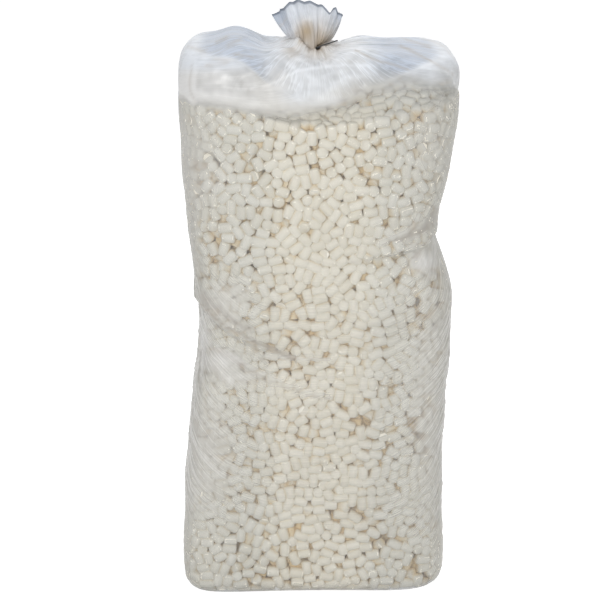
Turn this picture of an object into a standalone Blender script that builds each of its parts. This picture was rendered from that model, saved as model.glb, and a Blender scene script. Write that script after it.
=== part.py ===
"""A clear film bag of packing peanuts, gathered at the top and closed with a cable tie.

Metres, +Z up. The origin is the centre of the flat base, and the front of the bag faces -Y.
The film is one thin wall from the base to the ruffled mouth. The peanuts that the film presses
together are one solid, and those that lie loose on top of them are separate pieces.
"""

import math
import random

import bpy
from mathutils import Quaternion, Vector
from mathutils.bvhtree import BVHTree

# The filled bag
LEFT_HALF_WIDTH = 0.271
RIGHT_HALF_WIDTH = 0.268
HALF_DEPTH = 0.210
LEFT_BASE_SQUARENESS = 12.0
RIGHT_BASE_SQUARENESS = 6.5
TOP_SQUARENESS = 4.0
BASE_ROUND = 0.033
FILL_RIM = 0.955
SLACK_ABOVE_FILL = 0.007
LIFT_START = 0.15
LIFT_FULL = 0.80
LEFT_LIFT = 0.088
RIGHT_LIFT = 0.080
RIM_ROUND = 0.036
ROW_PITCH = 0.066
SIDE_WRINKLE = 0.0025

# The waist on each side, where a fold pulls the film in
LEFT_WAIST_HEIGHT = 0.550
LEFT_WAIST_DEPTH = 0.034
LEFT_WAIST_SPREAD = 0.210
LEFT_SPREAD_BELOW = 0.250
LEFT_FOLD_DROP = 0.120
LEFT_FOLD_DEPTH = 0.014
LEFT_FOLD_TURN = math.radians(200)
LEFT_FOLD_REACH = math.radians(145)
RIGHT_WAIST_HEIGHT = 0.738
RIGHT_WAIST_DEPTH = 0.036
RIGHT_WAIST_SPREAD = 0.120
RIGHT_SPREAD_BELOW = 0.065
RIGHT_FOLD_DROP = 0.085
RIGHT_FOLD_DEPTH = 0.016
RIGHT_FOLD_TURN = math.radians(-20)
RIGHT_FOLD_REACH = math.radians(106)
RIGHT_HOLLOW_HEIGHT = 0.280
RIGHT_HOLLOW_DEPTH = 0.013
RIGHT_HOLLOW_SPREAD = 0.200
FOLD_WARP_SPREAD = 0.100

# The gathered top
NECK_HEIGHT = 1.068
NECK_SHIFT = -0.008
NECK_RADIUS = 0.0125
NECK_LENGTH = 0.012
PLEATS = 11
NECK_PLEAT = 0.0018
PLEAT_VARIETY = 0.25
SHOULDER_PUFF = 0.020
PUFF_POINT = 1.5
SHOULDER_PLEAT = 0.011
CROWN_HEIGHT = 0.071
CROWN_HALF_WIDTH = 0.068
CROWN_HALF_DEPTH = 0.050
CROWN_PLEAT = 0.010
CROWN_EDGE_WAVE = 0.009
CROWN_EDGE_TURN = 0.6
CROWN_FLARE = 0.85
CROWN_LEAN = -0.012

# The film's wall, and the room between pieces
FILM_WALL = 0.0008
FILL_CLEARANCE = 0.0003
SEAT_GAP = 0.0003
HEAP_ROOM = 0.010
HEAP_PUFF_SHARE = 0.875

# The peanuts
PEANUT_DIAMETER = 0.020
PEANUT_LENGTH = 0.027
PEANUT_SIDES = 12
PEANUT_SPACE = 0.001
LUMP_DEPTH = 0.006
MOST_LOOSE_PEANUTS = 40
DROP_STEP = 0.001
SEED = 7

# The cable tie
STRAP_WIDTH = 0.0025
STRAP_THICKNESS = 0.0011
LOOP_STEPS = 36
HEAD_LENGTH = 0.0052
HEAD_WIDTH = 0.0046
HEAD_THICKNESS = 0.0034
HEAD_BEVEL = 0.0005
HEAD_ANGLE = math.radians(-97)
TAIL_LENGTH = 0.046
TAIL_RISE = math.radians(20)
TIE_SHARE = 0.6

COLUMNS = 4 * PLEATS
SIDE_TOP = FILL_RIM + SLACK_ABOVE_FILL
ARC_STEPS = 3
SHOULDER_STEPS = (0.15, 0.33, 0.52, 0.70, 0.86, 1.0)
CROWN_STEPS = (0.25, 0.50, 0.75, 1.0)
HEAP_STEPS = (0.18, 0.42, 0.70)
OUTLINE_SAMPLES = 1440
GOLDEN_ANGLE = math.pi * (3 - math.sqrt(5))
SPIRAL_CLOSENESS = 1.5
UP = Vector((0, 0, 1))


def clear_scene():
    for old in list(bpy.data.objects):
        bpy.data.objects.remove(old)


def material(name, colour, roughness, alpha=1.0):
    made = bpy.data.materials.new(name)
    made.use_nodes = True
    shader = made.node_tree.nodes["Principled BSDF"]
    shader.inputs["Base Color"].default_value = (*colour, 1)
    shader.inputs["Roughness"].default_value = roughness
    shader.inputs["Alpha"].default_value = alpha
    return made


def mesh_object(name, points, faces, look):
    mesh = bpy.data.meshes.new(name)
    mesh.from_pydata(points, [], faces)
    mesh.materials.append(look)
    made = bpy.data.objects.new(name, mesh)
    bpy.context.scene.collection.objects.link(made)
    return made


def bump(distance, spread):
    """1 at no distance, falling smoothly to nothing past about twice the spread."""
    return math.exp(-((distance / spread) ** 2))


def eased(share):
    """0 below 0, 1 above 1, and a smooth rise between."""
    share = min(max(share, 0.0), 1.0)
    return share * share * (3 - 2 * share)


def outline(angle, height):
    """A point of the bag's outer outline at this height: flat sides and round corners."""
    left_spread = LEFT_WAIST_SPREAD if height > LEFT_WAIST_HEIGHT else LEFT_SPREAD_BELOW
    left_pull = LEFT_WAIST_DEPTH * bump(height - LEFT_WAIST_HEIGHT, left_spread)
    right_spread = RIGHT_WAIST_SPREAD if height > RIGHT_WAIST_HEIGHT else RIGHT_SPREAD_BELOW
    right_pull = RIGHT_WAIST_DEPTH * bump(height - RIGHT_WAIST_HEIGHT, right_spread)
    right_pull += RIGHT_HOLLOW_DEPTH * bump(height - RIGHT_HOLLOW_HEIGHT, RIGHT_HOLLOW_SPREAD)
    across = math.cos(angle)
    along = math.sin(angle)
    if across > 0:
        half_width = RIGHT_HALF_WIDTH - right_pull
        base_square = RIGHT_BASE_SQUARENESS
    else:
        half_width = LEFT_HALF_WIDTH - left_pull
        base_square = LEFT_BASE_SQUARENESS
    square = base_square + (TOP_SQUARENESS - base_square) * eased(height / FILL_RIM)
    power = (abs(across) / half_width) ** square + (abs(along) / HALF_DEPTH) ** square
    radius = power ** (-1 / square)
    return Vector((radius * across, radius * along, 0))


def shrunk(point, distance):
    """The point moved this far towards the bag's axis, square to the round corners."""
    length = point.length
    return point * ((length - distance) / length)


def wrapped(angle):
    return (angle + math.pi) % (2 * math.pi) - math.pi


def side_share(angle):
    """1 on the left and right sides and their corners, 0 in the middle of front and back."""
    return eased((abs(math.cos(angle)) - LIFT_START) / (LIFT_FULL - LIFT_START))


def side_lift(angle):
    """How much higher the slack film stands at the sides than in the middle of the front."""
    lift = LEFT_LIFT if math.cos(angle) < 0 else RIGHT_LIFT
    return lift * side_share(angle)


def front_share(angle):
    """0 on the sides and the back, rising to 1 in the middle of the front."""
    return max(0.0, -math.sin(angle))


def faded(angle, middle, reach):
    """1 at the middle angle, fading to 0 at this reach on each side of it."""
    share = min(abs(wrapped(angle - middle)) / reach, 1.0)
    return math.cos(math.pi / 2 * share) ** 2


def left_fold(angle):
    """How strongly the left fold shows: full at the left side, fading across the front."""
    return faded(angle, LEFT_FOLD_TURN, LEFT_FOLD_REACH)


def right_fold(angle):
    """How strongly the right fold shows: full at the right side, fading across the front."""
    return faded(angle, RIGHT_FOLD_TURN, RIGHT_FOLD_REACH)


def warped_height(angle, height):
    """Rows of the film dip across the front, so that one of them runs along each fold."""
    left = LEFT_FOLD_DROP * bump(height - LEFT_WAIST_HEIGHT, FOLD_WARP_SPREAD)
    right = RIGHT_FOLD_DROP * bump(height - RIGHT_WAIST_HEIGHT, FOLD_WARP_SPREAD)
    dip = front_share(angle) * (left * left_fold(angle) + right * right_fold(angle))
    return height - dip * eased((FILL_RIM - height) / FOLD_WARP_SPREAD)


def evenly(start, end, pitch):
    """Heights from start to end, no further apart than the pitch, without the start."""
    steps = math.ceil((end - start) / pitch)
    return [start + (end - start) * (step + 1) / steps for step in range(steps)]


def side_heights():
    """Heights of the rows up the sides: one on each waist, the last at the peanuts' rim."""
    lower, upper = sorted((LEFT_WAIST_HEIGHT, RIGHT_WAIST_HEIGHT))
    heights = evenly(BASE_ROUND, lower, ROW_PITCH)
    heights += evenly(lower, upper, ROW_PITCH)
    heights += evenly(upper, FILL_RIM, ROW_PITCH)
    return heights


def film_columns():
    """For each column of the film: its angle on the outline, evenly spaced along it, and its
    even share of the full turn, which the neck and the crown follow."""
    turns = [2 * math.pi * step / OUTLINE_SAMPLES for step in range(OUTLINE_SAMPLES + 1)]
    walked = [0.0]
    for before, after in zip(turns, turns[1:]):
        walked.append(walked[-1] + (outline(after, 0) - outline(before, 0)).length)
    columns = []
    sample = 0
    for column in range(COLUMNS):
        while walked[sample] < walked[-1] * column / COLUMNS:
            sample += 1
        columns.append((turns[sample], 2 * math.pi * column / COLUMNS))
    return columns


def pleat_wave(phase):
    """From -1 in the valley of each pleat to 1 on its crest, deeper at some than at others."""
    evenness = 1 - PLEAT_VARIETY
    depth = evenness + PLEAT_VARIETY * math.cos(3 * phase + 1)
    return depth * math.cos(PLEATS * phase)


def base_rows(columns):
    """The flat base and its rounded edge. Each row holds, for each column, a point and how far
    a fold moves it outwards."""
    rows = [[(shrunk(outline(angle, 0), BASE_ROUND) / 2, 0.0) for angle, phase in columns]]
    for step in range(ARC_STEPS + 1):
        turn = math.pi / 2 * step / ARC_STEPS
        inset = BASE_ROUND * (1 - math.sin(turn))
        height = BASE_ROUND * (1 - math.cos(turn))
        row = []
        for angle, phase in columns:
            row.append((shrunk(outline(angle, height), inset) + UP * height, 0.0))
        rows.append(row)
    return rows


def side_rows(columns):
    rows = []
    for number, height in enumerate(side_heights()):
        left = LEFT_FOLD_DEPTH * bump(height - LEFT_WAIST_HEIGHT, ROW_PITCH / 2)
        right = RIGHT_FOLD_DEPTH * bump(height - RIGHT_WAIST_HEIGHT, ROW_PITCH / 2)
        wrinkle = SIDE_WRINKLE * (-1) ** number
        row = []
        for angle, phase in columns:
            lifted = warped_height(angle, height)
            fold = left * left_fold(angle) + right * right_fold(angle)
            relief = wrinkle * side_share(angle) - fold
            row.append((outline(angle, lifted) + UP * lifted, relief))
        rows.append(row)
    return rows


def rim_place(angle, turn):
    """A point of the rounded edge from the upright sides to the top, at this turn of it."""
    inset = RIM_ROUND * (1 - math.cos(turn))
    height = SIDE_TOP + side_lift(angle) + RIM_ROUND * math.sin(turn)
    return shrunk(outline(angle, height), inset) + UP * height


def neck_place(phase):
    across = NECK_SHIFT + NECK_RADIUS * math.cos(phase)
    along = NECK_RADIUS * math.sin(phase)
    return Vector((across, along, NECK_HEIGHT))


def shoulder_rows(columns):
    """The rim, then the slack film above the peanuts, creased towards the neck."""
    rows = []
    for step in range(ARC_STEPS + 1):
        turn = math.pi / 2 * step / ARC_STEPS
        rows.append([(rim_place(angle, turn), 0.0) for angle, phase in columns])
    for share in SHOULDER_STEPS:
        swell = abs(math.sin(math.pi * share)) ** PUFF_POINT
        pleat = SHOULDER_PLEAT * swell + NECK_PLEAT * share
        row = []
        for angle, phase in columns:
            place = rim_place(angle, math.pi / 2).lerp(neck_place(phase), share)
            row.append((place + UP * SHOULDER_PUFF * swell, pleat * pleat_wave(phase)))
        rows.append(row)
    return rows


def crown_rows(columns):
    """The straight neck, which the tie holds together, and the ruffle of film above it."""
    neck_top = UP * NECK_LENGTH
    rows = [[(neck_place(phase) + neck_top, NECK_PLEAT * pleat_wave(phase)) for angle, phase in columns]]
    for share in CROWN_STEPS:
        flare = share ** CROWN_FLARE
        half_width = NECK_RADIUS + (CROWN_HALF_WIDTH - NECK_RADIUS) * flare
        half_depth = NECK_RADIUS + (CROWN_HALF_DEPTH - NECK_RADIUS) * flare
        pleat = NECK_PLEAT + (CROWN_PLEAT - NECK_PLEAT) * share
        row = []
        for angle, phase in columns:
            wave = CROWN_EDGE_WAVE * share * math.cos(2 * phase + CROWN_EDGE_TURN)
            height = NECK_HEIGHT + NECK_LENGTH + CROWN_HEIGHT * share + wave
            across = NECK_SHIFT + CROWN_LEAN * share + half_width * math.cos(phase)
            place = Vector((across, half_depth * math.sin(phase), height))
            row.append((place, pleat * pleat_wave(phase)))
        rows.append(row)
    return rows


def outward(rows, row, column):
    """The film's outward direction at one point of its grid, from the points around it."""
    below = rows[max(row - 1, 0)][column][0]
    above = rows[min(row + 1, len(rows) - 1)][column][0]
    before = rows[row][column - 1][0]
    after = rows[row][(column + 1) % COLUMNS][0]
    return (after - before).cross(above - below).normalized()


def film_grid():
    """Every row of the film from base to mouth: each point's place outside and its outward
    direction. The folds move each point along that direction."""
    columns = film_columns()
    rows = base_rows(columns) + side_rows(columns) + shoulder_rows(columns) + crown_rows(columns)
    grid = []
    for row, points in enumerate(rows):
        normals = [outward(rows, row, column) for column in range(COLUMNS)]
        outer = [place + normal * relief for (place, relief), normal in zip(points, normals)]
        grid.append((outer, normals))
    return grid


def ring_faces(lower, upper):
    """Triangles between two rings of point numbers, each quad cut the same way."""
    faces = []
    for column in range(COLUMNS):
        after = (column + 1) % COLUMNS
        faces.append((lower[column], lower[after], upper[after]))
        faces.append((lower[column], upper[after], upper[column]))
    return faces


def fan_faces(centre, rim):
    return [(centre, rim[(column + 1) % COLUMNS], rim[column]) for column in range(COLUMNS)]


def numbers(start):
    return list(range(start, start + COLUMNS))


def bag_film(grid, look):
    """The film: its outer skin, its inner skin one wall inside it, and the lip at the mouth."""
    points = [Vector((0, 0, 0)), Vector((0, 0, FILM_WALL))]
    outer_rows = []
    inner_rows = []
    for outer, normals in grid:
        outer_rows.append(numbers(len(points)))
        points += outer
    for outer, normals in grid:
        inner_rows.append(numbers(len(points)))
        points += [place - normal * FILM_WALL for place, normal in zip(outer, normals)]
    faces = fan_faces(0, outer_rows[0])
    inner_faces = fan_faces(1, inner_rows[0])
    for row in range(len(grid) - 1):
        faces += ring_faces(outer_rows[row], outer_rows[row + 1])
        inner_faces += ring_faces(inner_rows[row], inner_rows[row + 1])
    faces += [face[::-1] for face in inner_faces]
    faces += ring_faces(outer_rows[-1], inner_rows[-1])
    made = mesh_object("bag_film", points, faces, look)
    made.data.shade_smooth()
    made.data.set_sharp_from_angle(angle=math.radians(50))
    return made


def layer_room():
    """Height between the heap and the film over it: one loose layer, with its room, fits in it
    also where the shoulders are steep."""
    slope = (NECK_HEIGHT - SIDE_TOP - RIM_ROUND) / HALF_DEPTH
    return (PEANUT_DIAMETER + HEAP_ROOM) * math.hypot(1, slope)


def heap_height(x, y):
    """Height of the heaped peanuts over a point: one loose layer under the shoulder film."""
    rim = SIDE_TOP + RIM_ROUND
    edge = shrunk(outline(math.atan2(y, x), rim), RIM_ROUND)
    inwards = 1 - math.hypot(x, y) / edge.length
    swell = 4 * inwards * (1 - inwards)
    film = rim + (NECK_HEIGHT - rim) * inwards + HEAP_PUFF_SHARE * SHOULDER_PUFF * swell
    return film - layer_room()


def fill_rows(grid):
    """Rows of the packed peanuts: up the film's inside to their rim, then in over the heap."""
    inset = FILM_WALL + FILL_CLEARANCE
    rows = []
    for outer, normals in grid[1 : ARC_STEPS + 2 + len(side_heights())]:
        rows.append([place - normal * inset for place, normal in zip(outer, normals)])
    rim = rows[-1]
    for share in HEAP_STEPS:
        heap = []
        for place in rim:
            x = place.x * (1 - share)
            y = place.y * (1 - share)
            heap.append(Vector((x, y, heap_height(x, y))))
        rows.append(heap)
    return rows


def peanut_fill(grid, look):
    """The packed peanuts as one solid, with a dent between the crests all over its skin."""
    places = fill_rows(grid)
    points = [Vector((0, 0, places[0][0].z)), Vector((0, 0, heap_height(0, 0)))]
    rows = []
    for row in places:
        rows.append(numbers(len(points)))
        points += row
    faces = fan_faces(0, rows[0])
    faces += [face[::-1] for face in fan_faces(1, rows[-1])]
    for lower, upper in zip(rows, rows[1:]):
        for column in range(COLUMNS):
            after = (column + 1) % COLUMNS
            corners = (lower[column], lower[after], upper[after], upper[column])
            middle = sum((points[corner] for corner in corners), Vector()) / 4
            first_edge = points[corners[2]] - points[corners[0]]
            second_edge = points[corners[3]] - points[corners[1]]
            sunk = middle - first_edge.cross(second_edge).normalized() * LUMP_DEPTH
            centre = len(points)
            points.append(sunk)
            for start, end in zip(corners, corners[1:] + corners[:1]):
                faces.append((start, end, centre))
    return mesh_object("peanut_fill", points, faces, look)


def peanut_shape(diameter, length):
    """A plain round peanut along X about its own centre."""
    points = []
    for end in (-length / 2, length / 2):
        for side in range(PEANUT_SIDES):
            angle = 2 * math.pi * side / PEANUT_SIDES
            across = diameter / 2 * math.cos(angle)
            points.append(Vector((end, across, diameter / 2 * math.sin(angle))))
    faces = [tuple(reversed(range(PEANUT_SIDES)))]
    faces.append(tuple(range(PEANUT_SIDES, 2 * PEANUT_SIDES)))
    for side in range(PEANUT_SIDES):
        after = (side + 1) % PEANUT_SIDES
        faces.append((side, after, PEANUT_SIDES + after, PEANUT_SIDES + side))
    return points, faces


def heap_turn(x, y, yaw):
    """The turn of a peanut that lies on the heap's slope, with its axis at this yaw."""
    step = PEANUT_DIAMETER / 2
    rise_x = heap_height(x + step, y) - heap_height(x - step, y)
    rise_y = heap_height(x, y + step) - heap_height(x, y - step)
    up = Vector((-rise_x / (2 * step), -rise_y / (2 * step), 1))
    return UP.rotation_difference(up) @ Quaternion(UP, yaw)


def seat(tree, x, y, turn):
    """The lowest place over (x, y) where a peanut stays one seat gap clear of the heap."""
    roomy = peanut_shape(PEANUT_DIAMETER + 2 * SEAT_GAP, PEANUT_LENGTH + 2 * SEAT_GAP)

    def clear(height):
        place = Vector((x, y, height))
        moved = [place + turn @ point for point in roomy[0]]
        return not tree.overlap(BVHTree.FromPolygons(moved, roomy[1]))

    high = heap_height(x, y) + PEANUT_LENGTH
    while clear(high - DROP_STEP):
        high -= DROP_STEP
    low = high - DROP_STEP
    while high - low > SEAT_GAP / 10:
        middle = (high + low) / 2
        if clear(middle):
            high = middle
        else:
            low = middle
    return Vector((x, y, high))


def loose_peanuts(fill, look):
    """The peanuts that lie loose on the heap, in a spiral that keeps them apart."""
    chance = random.Random(SEED)
    points, faces = peanut_shape(PEANUT_DIAMETER, PEANUT_LENGTH)
    mesh = bpy.data.meshes.new("peanut")
    mesh.from_pydata(points, [], faces)
    mesh.materials.append(look)
    mesh.shade_smooth()
    mesh.set_sharp_from_angle(angle=math.radians(40))
    fill_points = [vertex.co for vertex in fill.data.vertices]
    tree = BVHTree.FromPolygons(fill_points, [face.vertices for face in fill.data.polygons])
    apart = math.hypot(PEANUT_DIAMETER, PEANUT_LENGTH) + PEANUT_SPACE
    pitch = apart / SPIRAL_CLOSENESS
    reach = HALF_DEPTH - RIM_ROUND - PEANUT_LENGTH / 2
    stretch = (LEFT_HALF_WIDTH + RIGHT_HALF_WIDTH) / (2 * HALF_DEPTH)
    made = []
    for number in range(MOST_LOOSE_PEANUTS):
        radius = pitch * math.sqrt(number + 0.5)
        if radius > reach:
            break
        angle = number * GOLDEN_ANGLE
        x = radius * math.cos(angle) * stretch
        y = radius * math.sin(angle)
        turn = heap_turn(x, y, chance.uniform(0, math.pi))
        peanut = bpy.data.objects.new(f"peanut_{number + 1:02d}", mesh)
        peanut.rotation_mode = "QUATERNION"
        peanut.rotation_quaternion = turn
        peanut.location = seat(tree, x, y, turn)
        bpy.context.scene.collection.objects.link(peanut)
        made.append(peanut)
    return made


def bar(name, length, width, thickness, look):
    """A plain bar along X from the origin, as wide as this along Z."""
    low = (0, -thickness / 2, -width / 2)
    high = (length, thickness / 2, width / 2)
    points = [(x, y, z) for x in (low[0], high[0]) for y in (low[1], high[1]) for z in (low[2], high[2])]
    faces = [(0, 1, 3, 2), (4, 6, 7, 5), (0, 4, 5, 1), (2, 3, 7, 6), (0, 2, 6, 4), (1, 5, 7, 3)]
    return mesh_object(name, points, faces, look)


def cable_tie(look):
    """The black tie: a strap looped round the neck, its head, and the strap's free tail."""
    inner = NECK_RADIUS + NECK_PLEAT + SEAT_GAP
    outer = inner + STRAP_THICKNESS
    middle_height = NECK_HEIGHT + NECK_LENGTH * TIE_SHARE
    points = []
    for step in range(LOOP_STEPS):
        angle = 2 * math.pi * step / LOOP_STEPS
        for radius, level in ((inner, -1), (outer, -1), (outer, 1), (inner, 1)):
            height = middle_height + level * STRAP_WIDTH / 2
            across = NECK_SHIFT + radius * math.cos(angle)
            points.append((across, radius * math.sin(angle), height))
    faces = []
    for step in range(LOOP_STEPS):
        here = 4 * step
        there = 4 * ((step + 1) % LOOP_STEPS)
        for corner in range(4):
            after = (corner + 1) % 4
            faces.append((here + corner, here + after, there + after, there + corner))
    tie = mesh_object("cable_tie", points, faces, look)

    head = bar("tie_head", HEAD_LENGTH, HEAD_WIDTH, HEAD_THICKNESS, look)
    head_radius = inner + HEAD_THICKNESS / 2
    head_place = Vector((math.cos(HEAD_ANGLE), math.sin(HEAD_ANGLE), 0)) * head_radius
    head_place.x += NECK_SHIFT
    along = HEAD_ANGLE + math.pi / 2
    direction = Vector((math.cos(along), math.sin(along), 0))
    head.location = head_place - direction * HEAD_LENGTH / 2 + Vector((0, 0, middle_height))
    head.rotation_euler = (0, 0, along)
    bevel = head.modifiers.new("edges", "BEVEL")
    bevel.width = HEAD_BEVEL
    bevel.segments = 1

    tail = bar("tie_tail", TAIL_LENGTH + HEAD_LENGTH / 2, STRAP_WIDTH, STRAP_THICKNESS, look)
    tail.location = head_place + Vector((0, 0, middle_height))
    tail.rotation_euler = (0, -TAIL_RISE, along)

    for piece in (head, tail):
        join = tie.modifiers.new(piece.name, "BOOLEAN")
        join.operation = "UNION"
        join.object = piece
        piece.hide_render = True
        piece.display_type = "WIRE"
    return tie


def main():
    clear_scene()
    film_look = material("clear film", (0.90, 0.93, 0.96), 0.15, alpha=0.25)
    packed_look = material("packed peanuts", (0.78, 0.74, 0.64), 0.80)
    loose_look = material("loose peanut", (0.84, 0.81, 0.72), 0.80)
    tie_look = material("black nylon", (0.02, 0.02, 0.02), 0.40)
    grid = film_grid()
    bag_film(grid, film_look)
    fill = peanut_fill(grid, packed_look)
    loose_peanuts(fill, loose_look)
    cable_tie(tie_look)


main()
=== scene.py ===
# %% [markdown]
# # A clear bag of packing peanuts
#
# The object is a tall bag of thin clear film, packed tight with ivory foam cylinders, gathered at
# the top and closed with a black cable tie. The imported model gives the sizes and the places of
# everything. This lesson dresses it: a real shell of single peanuts, a thin creased film over
# them, and soft light from the front and from above.

import math

import bpy
import numpy as np
from mathutils import Matrix, Vector
from mathutils.bvhtree import BVHTree


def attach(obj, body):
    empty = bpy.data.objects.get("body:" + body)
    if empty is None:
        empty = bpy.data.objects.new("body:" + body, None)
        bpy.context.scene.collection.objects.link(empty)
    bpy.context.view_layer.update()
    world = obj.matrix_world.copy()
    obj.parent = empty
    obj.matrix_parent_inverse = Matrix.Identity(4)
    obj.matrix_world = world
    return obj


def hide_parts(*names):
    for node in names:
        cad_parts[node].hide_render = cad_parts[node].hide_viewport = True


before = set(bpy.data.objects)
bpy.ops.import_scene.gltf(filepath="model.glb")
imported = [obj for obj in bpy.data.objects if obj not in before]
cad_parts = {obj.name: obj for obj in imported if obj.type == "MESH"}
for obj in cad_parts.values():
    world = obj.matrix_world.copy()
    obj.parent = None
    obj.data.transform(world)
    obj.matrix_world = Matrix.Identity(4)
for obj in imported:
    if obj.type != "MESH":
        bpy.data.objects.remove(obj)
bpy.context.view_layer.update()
print("nodes:", len(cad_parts))

# %% [markdown]
# ## The camera
#
# Matching a photograph starts with its camera. The bag's outline was compared with the picture's
# for many camera places, and the one below fits it within a few pixels. A long lens from three
# metres away, a little above the bag, keeps its sides nearly parallel.

# %% The camera of the photograph
CAMERA_DISTANCE = 3.2
CAMERA_HEIGHT = 1.6
CAMERA_TURN = math.radians(-2.51)
CAMERA_ROLL = math.radians(0.474)
AIM_X = -0.0324
AIM_Z = 0.5599
FOCAL_PIXELS = 1654.3
IMAGE_PIXELS = 600
SENSOR_MM = 36.0

towards_eye = Vector((math.sin(CAMERA_TURN), -math.cos(CAMERA_TURN), 0))
eye = towards_eye * CAMERA_DISTANCE + Vector((0, 0, CAMERA_HEIGHT))
forward = (Vector((AIM_X, 0, AIM_Z)) - eye).normalized()
level_right = forward.cross(Vector((0, 0, 1))).normalized()
level_up = level_right.cross(forward)
right = level_right * math.cos(CAMERA_ROLL) + level_up * math.sin(CAMERA_ROLL)
up = level_up * math.cos(CAMERA_ROLL) - level_right * math.sin(CAMERA_ROLL)


def in_scene(name, data):
    """A new object of the scene that shows a camera, a lamp or a mesh."""
    made = bpy.data.objects.new(name, data)
    bpy.context.scene.collection.objects.link(made)
    return made


lens = bpy.data.cameras.new("camera")
lens.sensor_width = SENSOR_MM
lens.sensor_fit = "HORIZONTAL"
lens.lens = SENSOR_MM * FOCAL_PIXELS / IMAGE_PIXELS
camera = in_scene("camera", lens)
turned = Matrix((right, up, -forward)).transposed().to_4x4()
camera.matrix_world = Matrix.Translation(eye) @ turned
bpy.context.scene.camera = camera


def pixel_ray(x, y):
    """The direction from the camera through a pixel of the photograph."""
    half = IMAGE_PIXELS / 2
    return (forward * FOCAL_PIXELS + right * (x - half) - up * (y - half)).normalized()


print("lens", round(lens.lens, 1), "mm, eye", [round(v, 3) for v in eye])

# %% [markdown]
# ## Measuring the bag
#
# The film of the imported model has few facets. Rays cast inside it give its true form as two
# smooth tables: how far the side wall is from the axis, for each turn and height, and how high
# the slack top is. Everything that follows is set against these two tables, so it goes where the
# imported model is, and the facets are smoothed away.

# %% Rays against the solids
FILM_WALL = 0.0008
UP = Vector((0, 0, 1))


def face_tree(made):
    """The faces of an object, ready for rays."""
    corners = [vertex.co for vertex in made.data.vertices]
    return BVHTree.FromPolygons(corners, [tuple(face.vertices) for face in made.data.polygons])


film_tree = face_tree(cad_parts["bag_film"])
packed_tree = face_tree(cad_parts["peanut_fill"])
print("faces of the film:", len(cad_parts["bag_film"].data.polygons))


def blurred(table, spread, axis, wraps):
    """The table smoothed along one axis with a soft bell of this many steps."""
    reach = int(math.ceil(3 * spread))
    weights = np.exp(-0.5 * (np.arange(-reach, reach + 1) / spread) ** 2)
    weights /= weights.sum()
    widths = [(0, 0)] * table.ndim
    widths[axis] = (reach, reach)
    padded = np.pad(table, widths, mode="wrap" if wraps else "edge")
    out = np.zeros_like(table)
    for shift, weight in enumerate(weights):
        out += weight * np.take(padded, np.arange(shift, shift + table.shape[axis]), axis=axis)
    return out


def smoothed(table, down, across):
    """A table of the bag smoothed down its rows and round its turns."""
    return blurred(blurred(table, down, 0, False), across, 1, True)


def smooth_step(x):
    """From 0 to 1 with soft ends."""
    x = np.clip(x, 0.0, 1.0)
    return x * x * (3 - 2 * x)


# %% The slack top and the heap of peanuts
TURNS = 240
SHARES = 40
BASE_ROUND = 0.033
RIM_ROUND = 0.036
NECK_HEIGHT = 1.068
NECK_SHIFT = -0.008
NECK_RADIUS = 0.0125
RIM_LEVEL = 0.94
CLEAR_OF_NECK = 0.006
UNDER_THE_TOP = 0.90
OVER_THE_HEAP = 1.2

turns = np.arange(TURNS) * 2 * math.pi / TURNS


def wall_distance(turn, level):
    """How far the film is from the axis along one level ray."""
    hit = film_tree.ray_cast(Vector((0, 0, level)), Vector((math.cos(turn), math.sin(turn), 0)))
    return hit[3] + FILM_WALL


rim_radius = np.array([wall_distance(turn, RIM_LEVEL) for turn in turns]) - RIM_ROUND
rim_radius = blurred(rim_radius, 1.7, 0, True)
top_film = np.zeros((SHARES + 1, TURNS))
heap_top = np.zeros((SHARES + 1, TURNS))
for row in range(SHARES + 1):
    share = row / SHARES
    for column, turn in enumerate(turns):
        out = max(rim_radius[column] * (1 - share), NECK_RADIUS + CLEAR_OF_NECK)
        x = out * math.cos(turn) + NECK_SHIFT * share
        y = out * math.sin(turn)
        under = film_tree.ray_cast(Vector((x, y, UNDER_THE_TOP)), UP)[0]
        top_film[row, column] = under.z + FILM_WALL
        heap_top[row, column] = packed_tree.ray_cast(Vector((x, y, OVER_THE_HEAP)), -UP)[0].z
top_film = smoothed(top_film, 1.2, 6.5)
heap_top = smoothed(heap_top, 1.5, 4.0)
side_top = top_film[0] - RIM_ROUND
print("rim from", round(top_film[0].min(), 3), "to", round(top_film[0].max(), 3))
print("heap at the rim", round(heap_top[0].mean(), 3), "middle", round(heap_top[-1].mean(), 3))

# %% The side walls
SIDE_LEVELS = 220
HIGHEST_SIDE = 1.05
BELOW_RIM = 0.004

levels = np.linspace(BASE_ROUND, HIGHEST_SIDE, SIDE_LEVELS)
wall = np.zeros((SIDE_LEVELS, TURNS))
for column, turn in enumerate(turns):
    for row, level in enumerate(levels):
        wall[row, column] = wall_distance(turn, min(level, side_top[column] - BELOW_RIM))
wall = smoothed(wall, 4.8, 1.7)


def lookup(table, row, column):
    """Values of a table between its points: its rows end, its columns go round."""
    row = np.clip(row, 0, table.shape[0] - 1.001)
    low_row = np.floor(row).astype(int)
    low_column = np.floor(column).astype(int)
    past_row = row - low_row
    past_column = column - low_column
    next_column = (low_column + 1) % table.shape[1]
    low_column = low_column % table.shape[1]

    def across(which):
        here, there = table[which, low_column], table[which, next_column]
        return here * (1 - past_column) + there * past_column

    return across(low_row) * (1 - past_row) + across(low_row + 1) * past_row


def turn_column(turn):
    """The column of the tables that a turn falls on, with its fraction."""
    return (turn / (2 * math.pi) * TURNS) % TURNS


def side_radius(turn, level):
    """Distance from the axis to the film at a turn and a height, the base's round edge too."""
    row = (np.maximum(level, BASE_ROUND) - levels[0]) / (levels[1] - levels[0])
    below = np.clip(1 - level / BASE_ROUND, 0.0, 1.0)
    return lookup(wall, row, turn_column(turn)) - BASE_ROUND * (1 - np.sqrt(1 - below ** 2))


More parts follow.
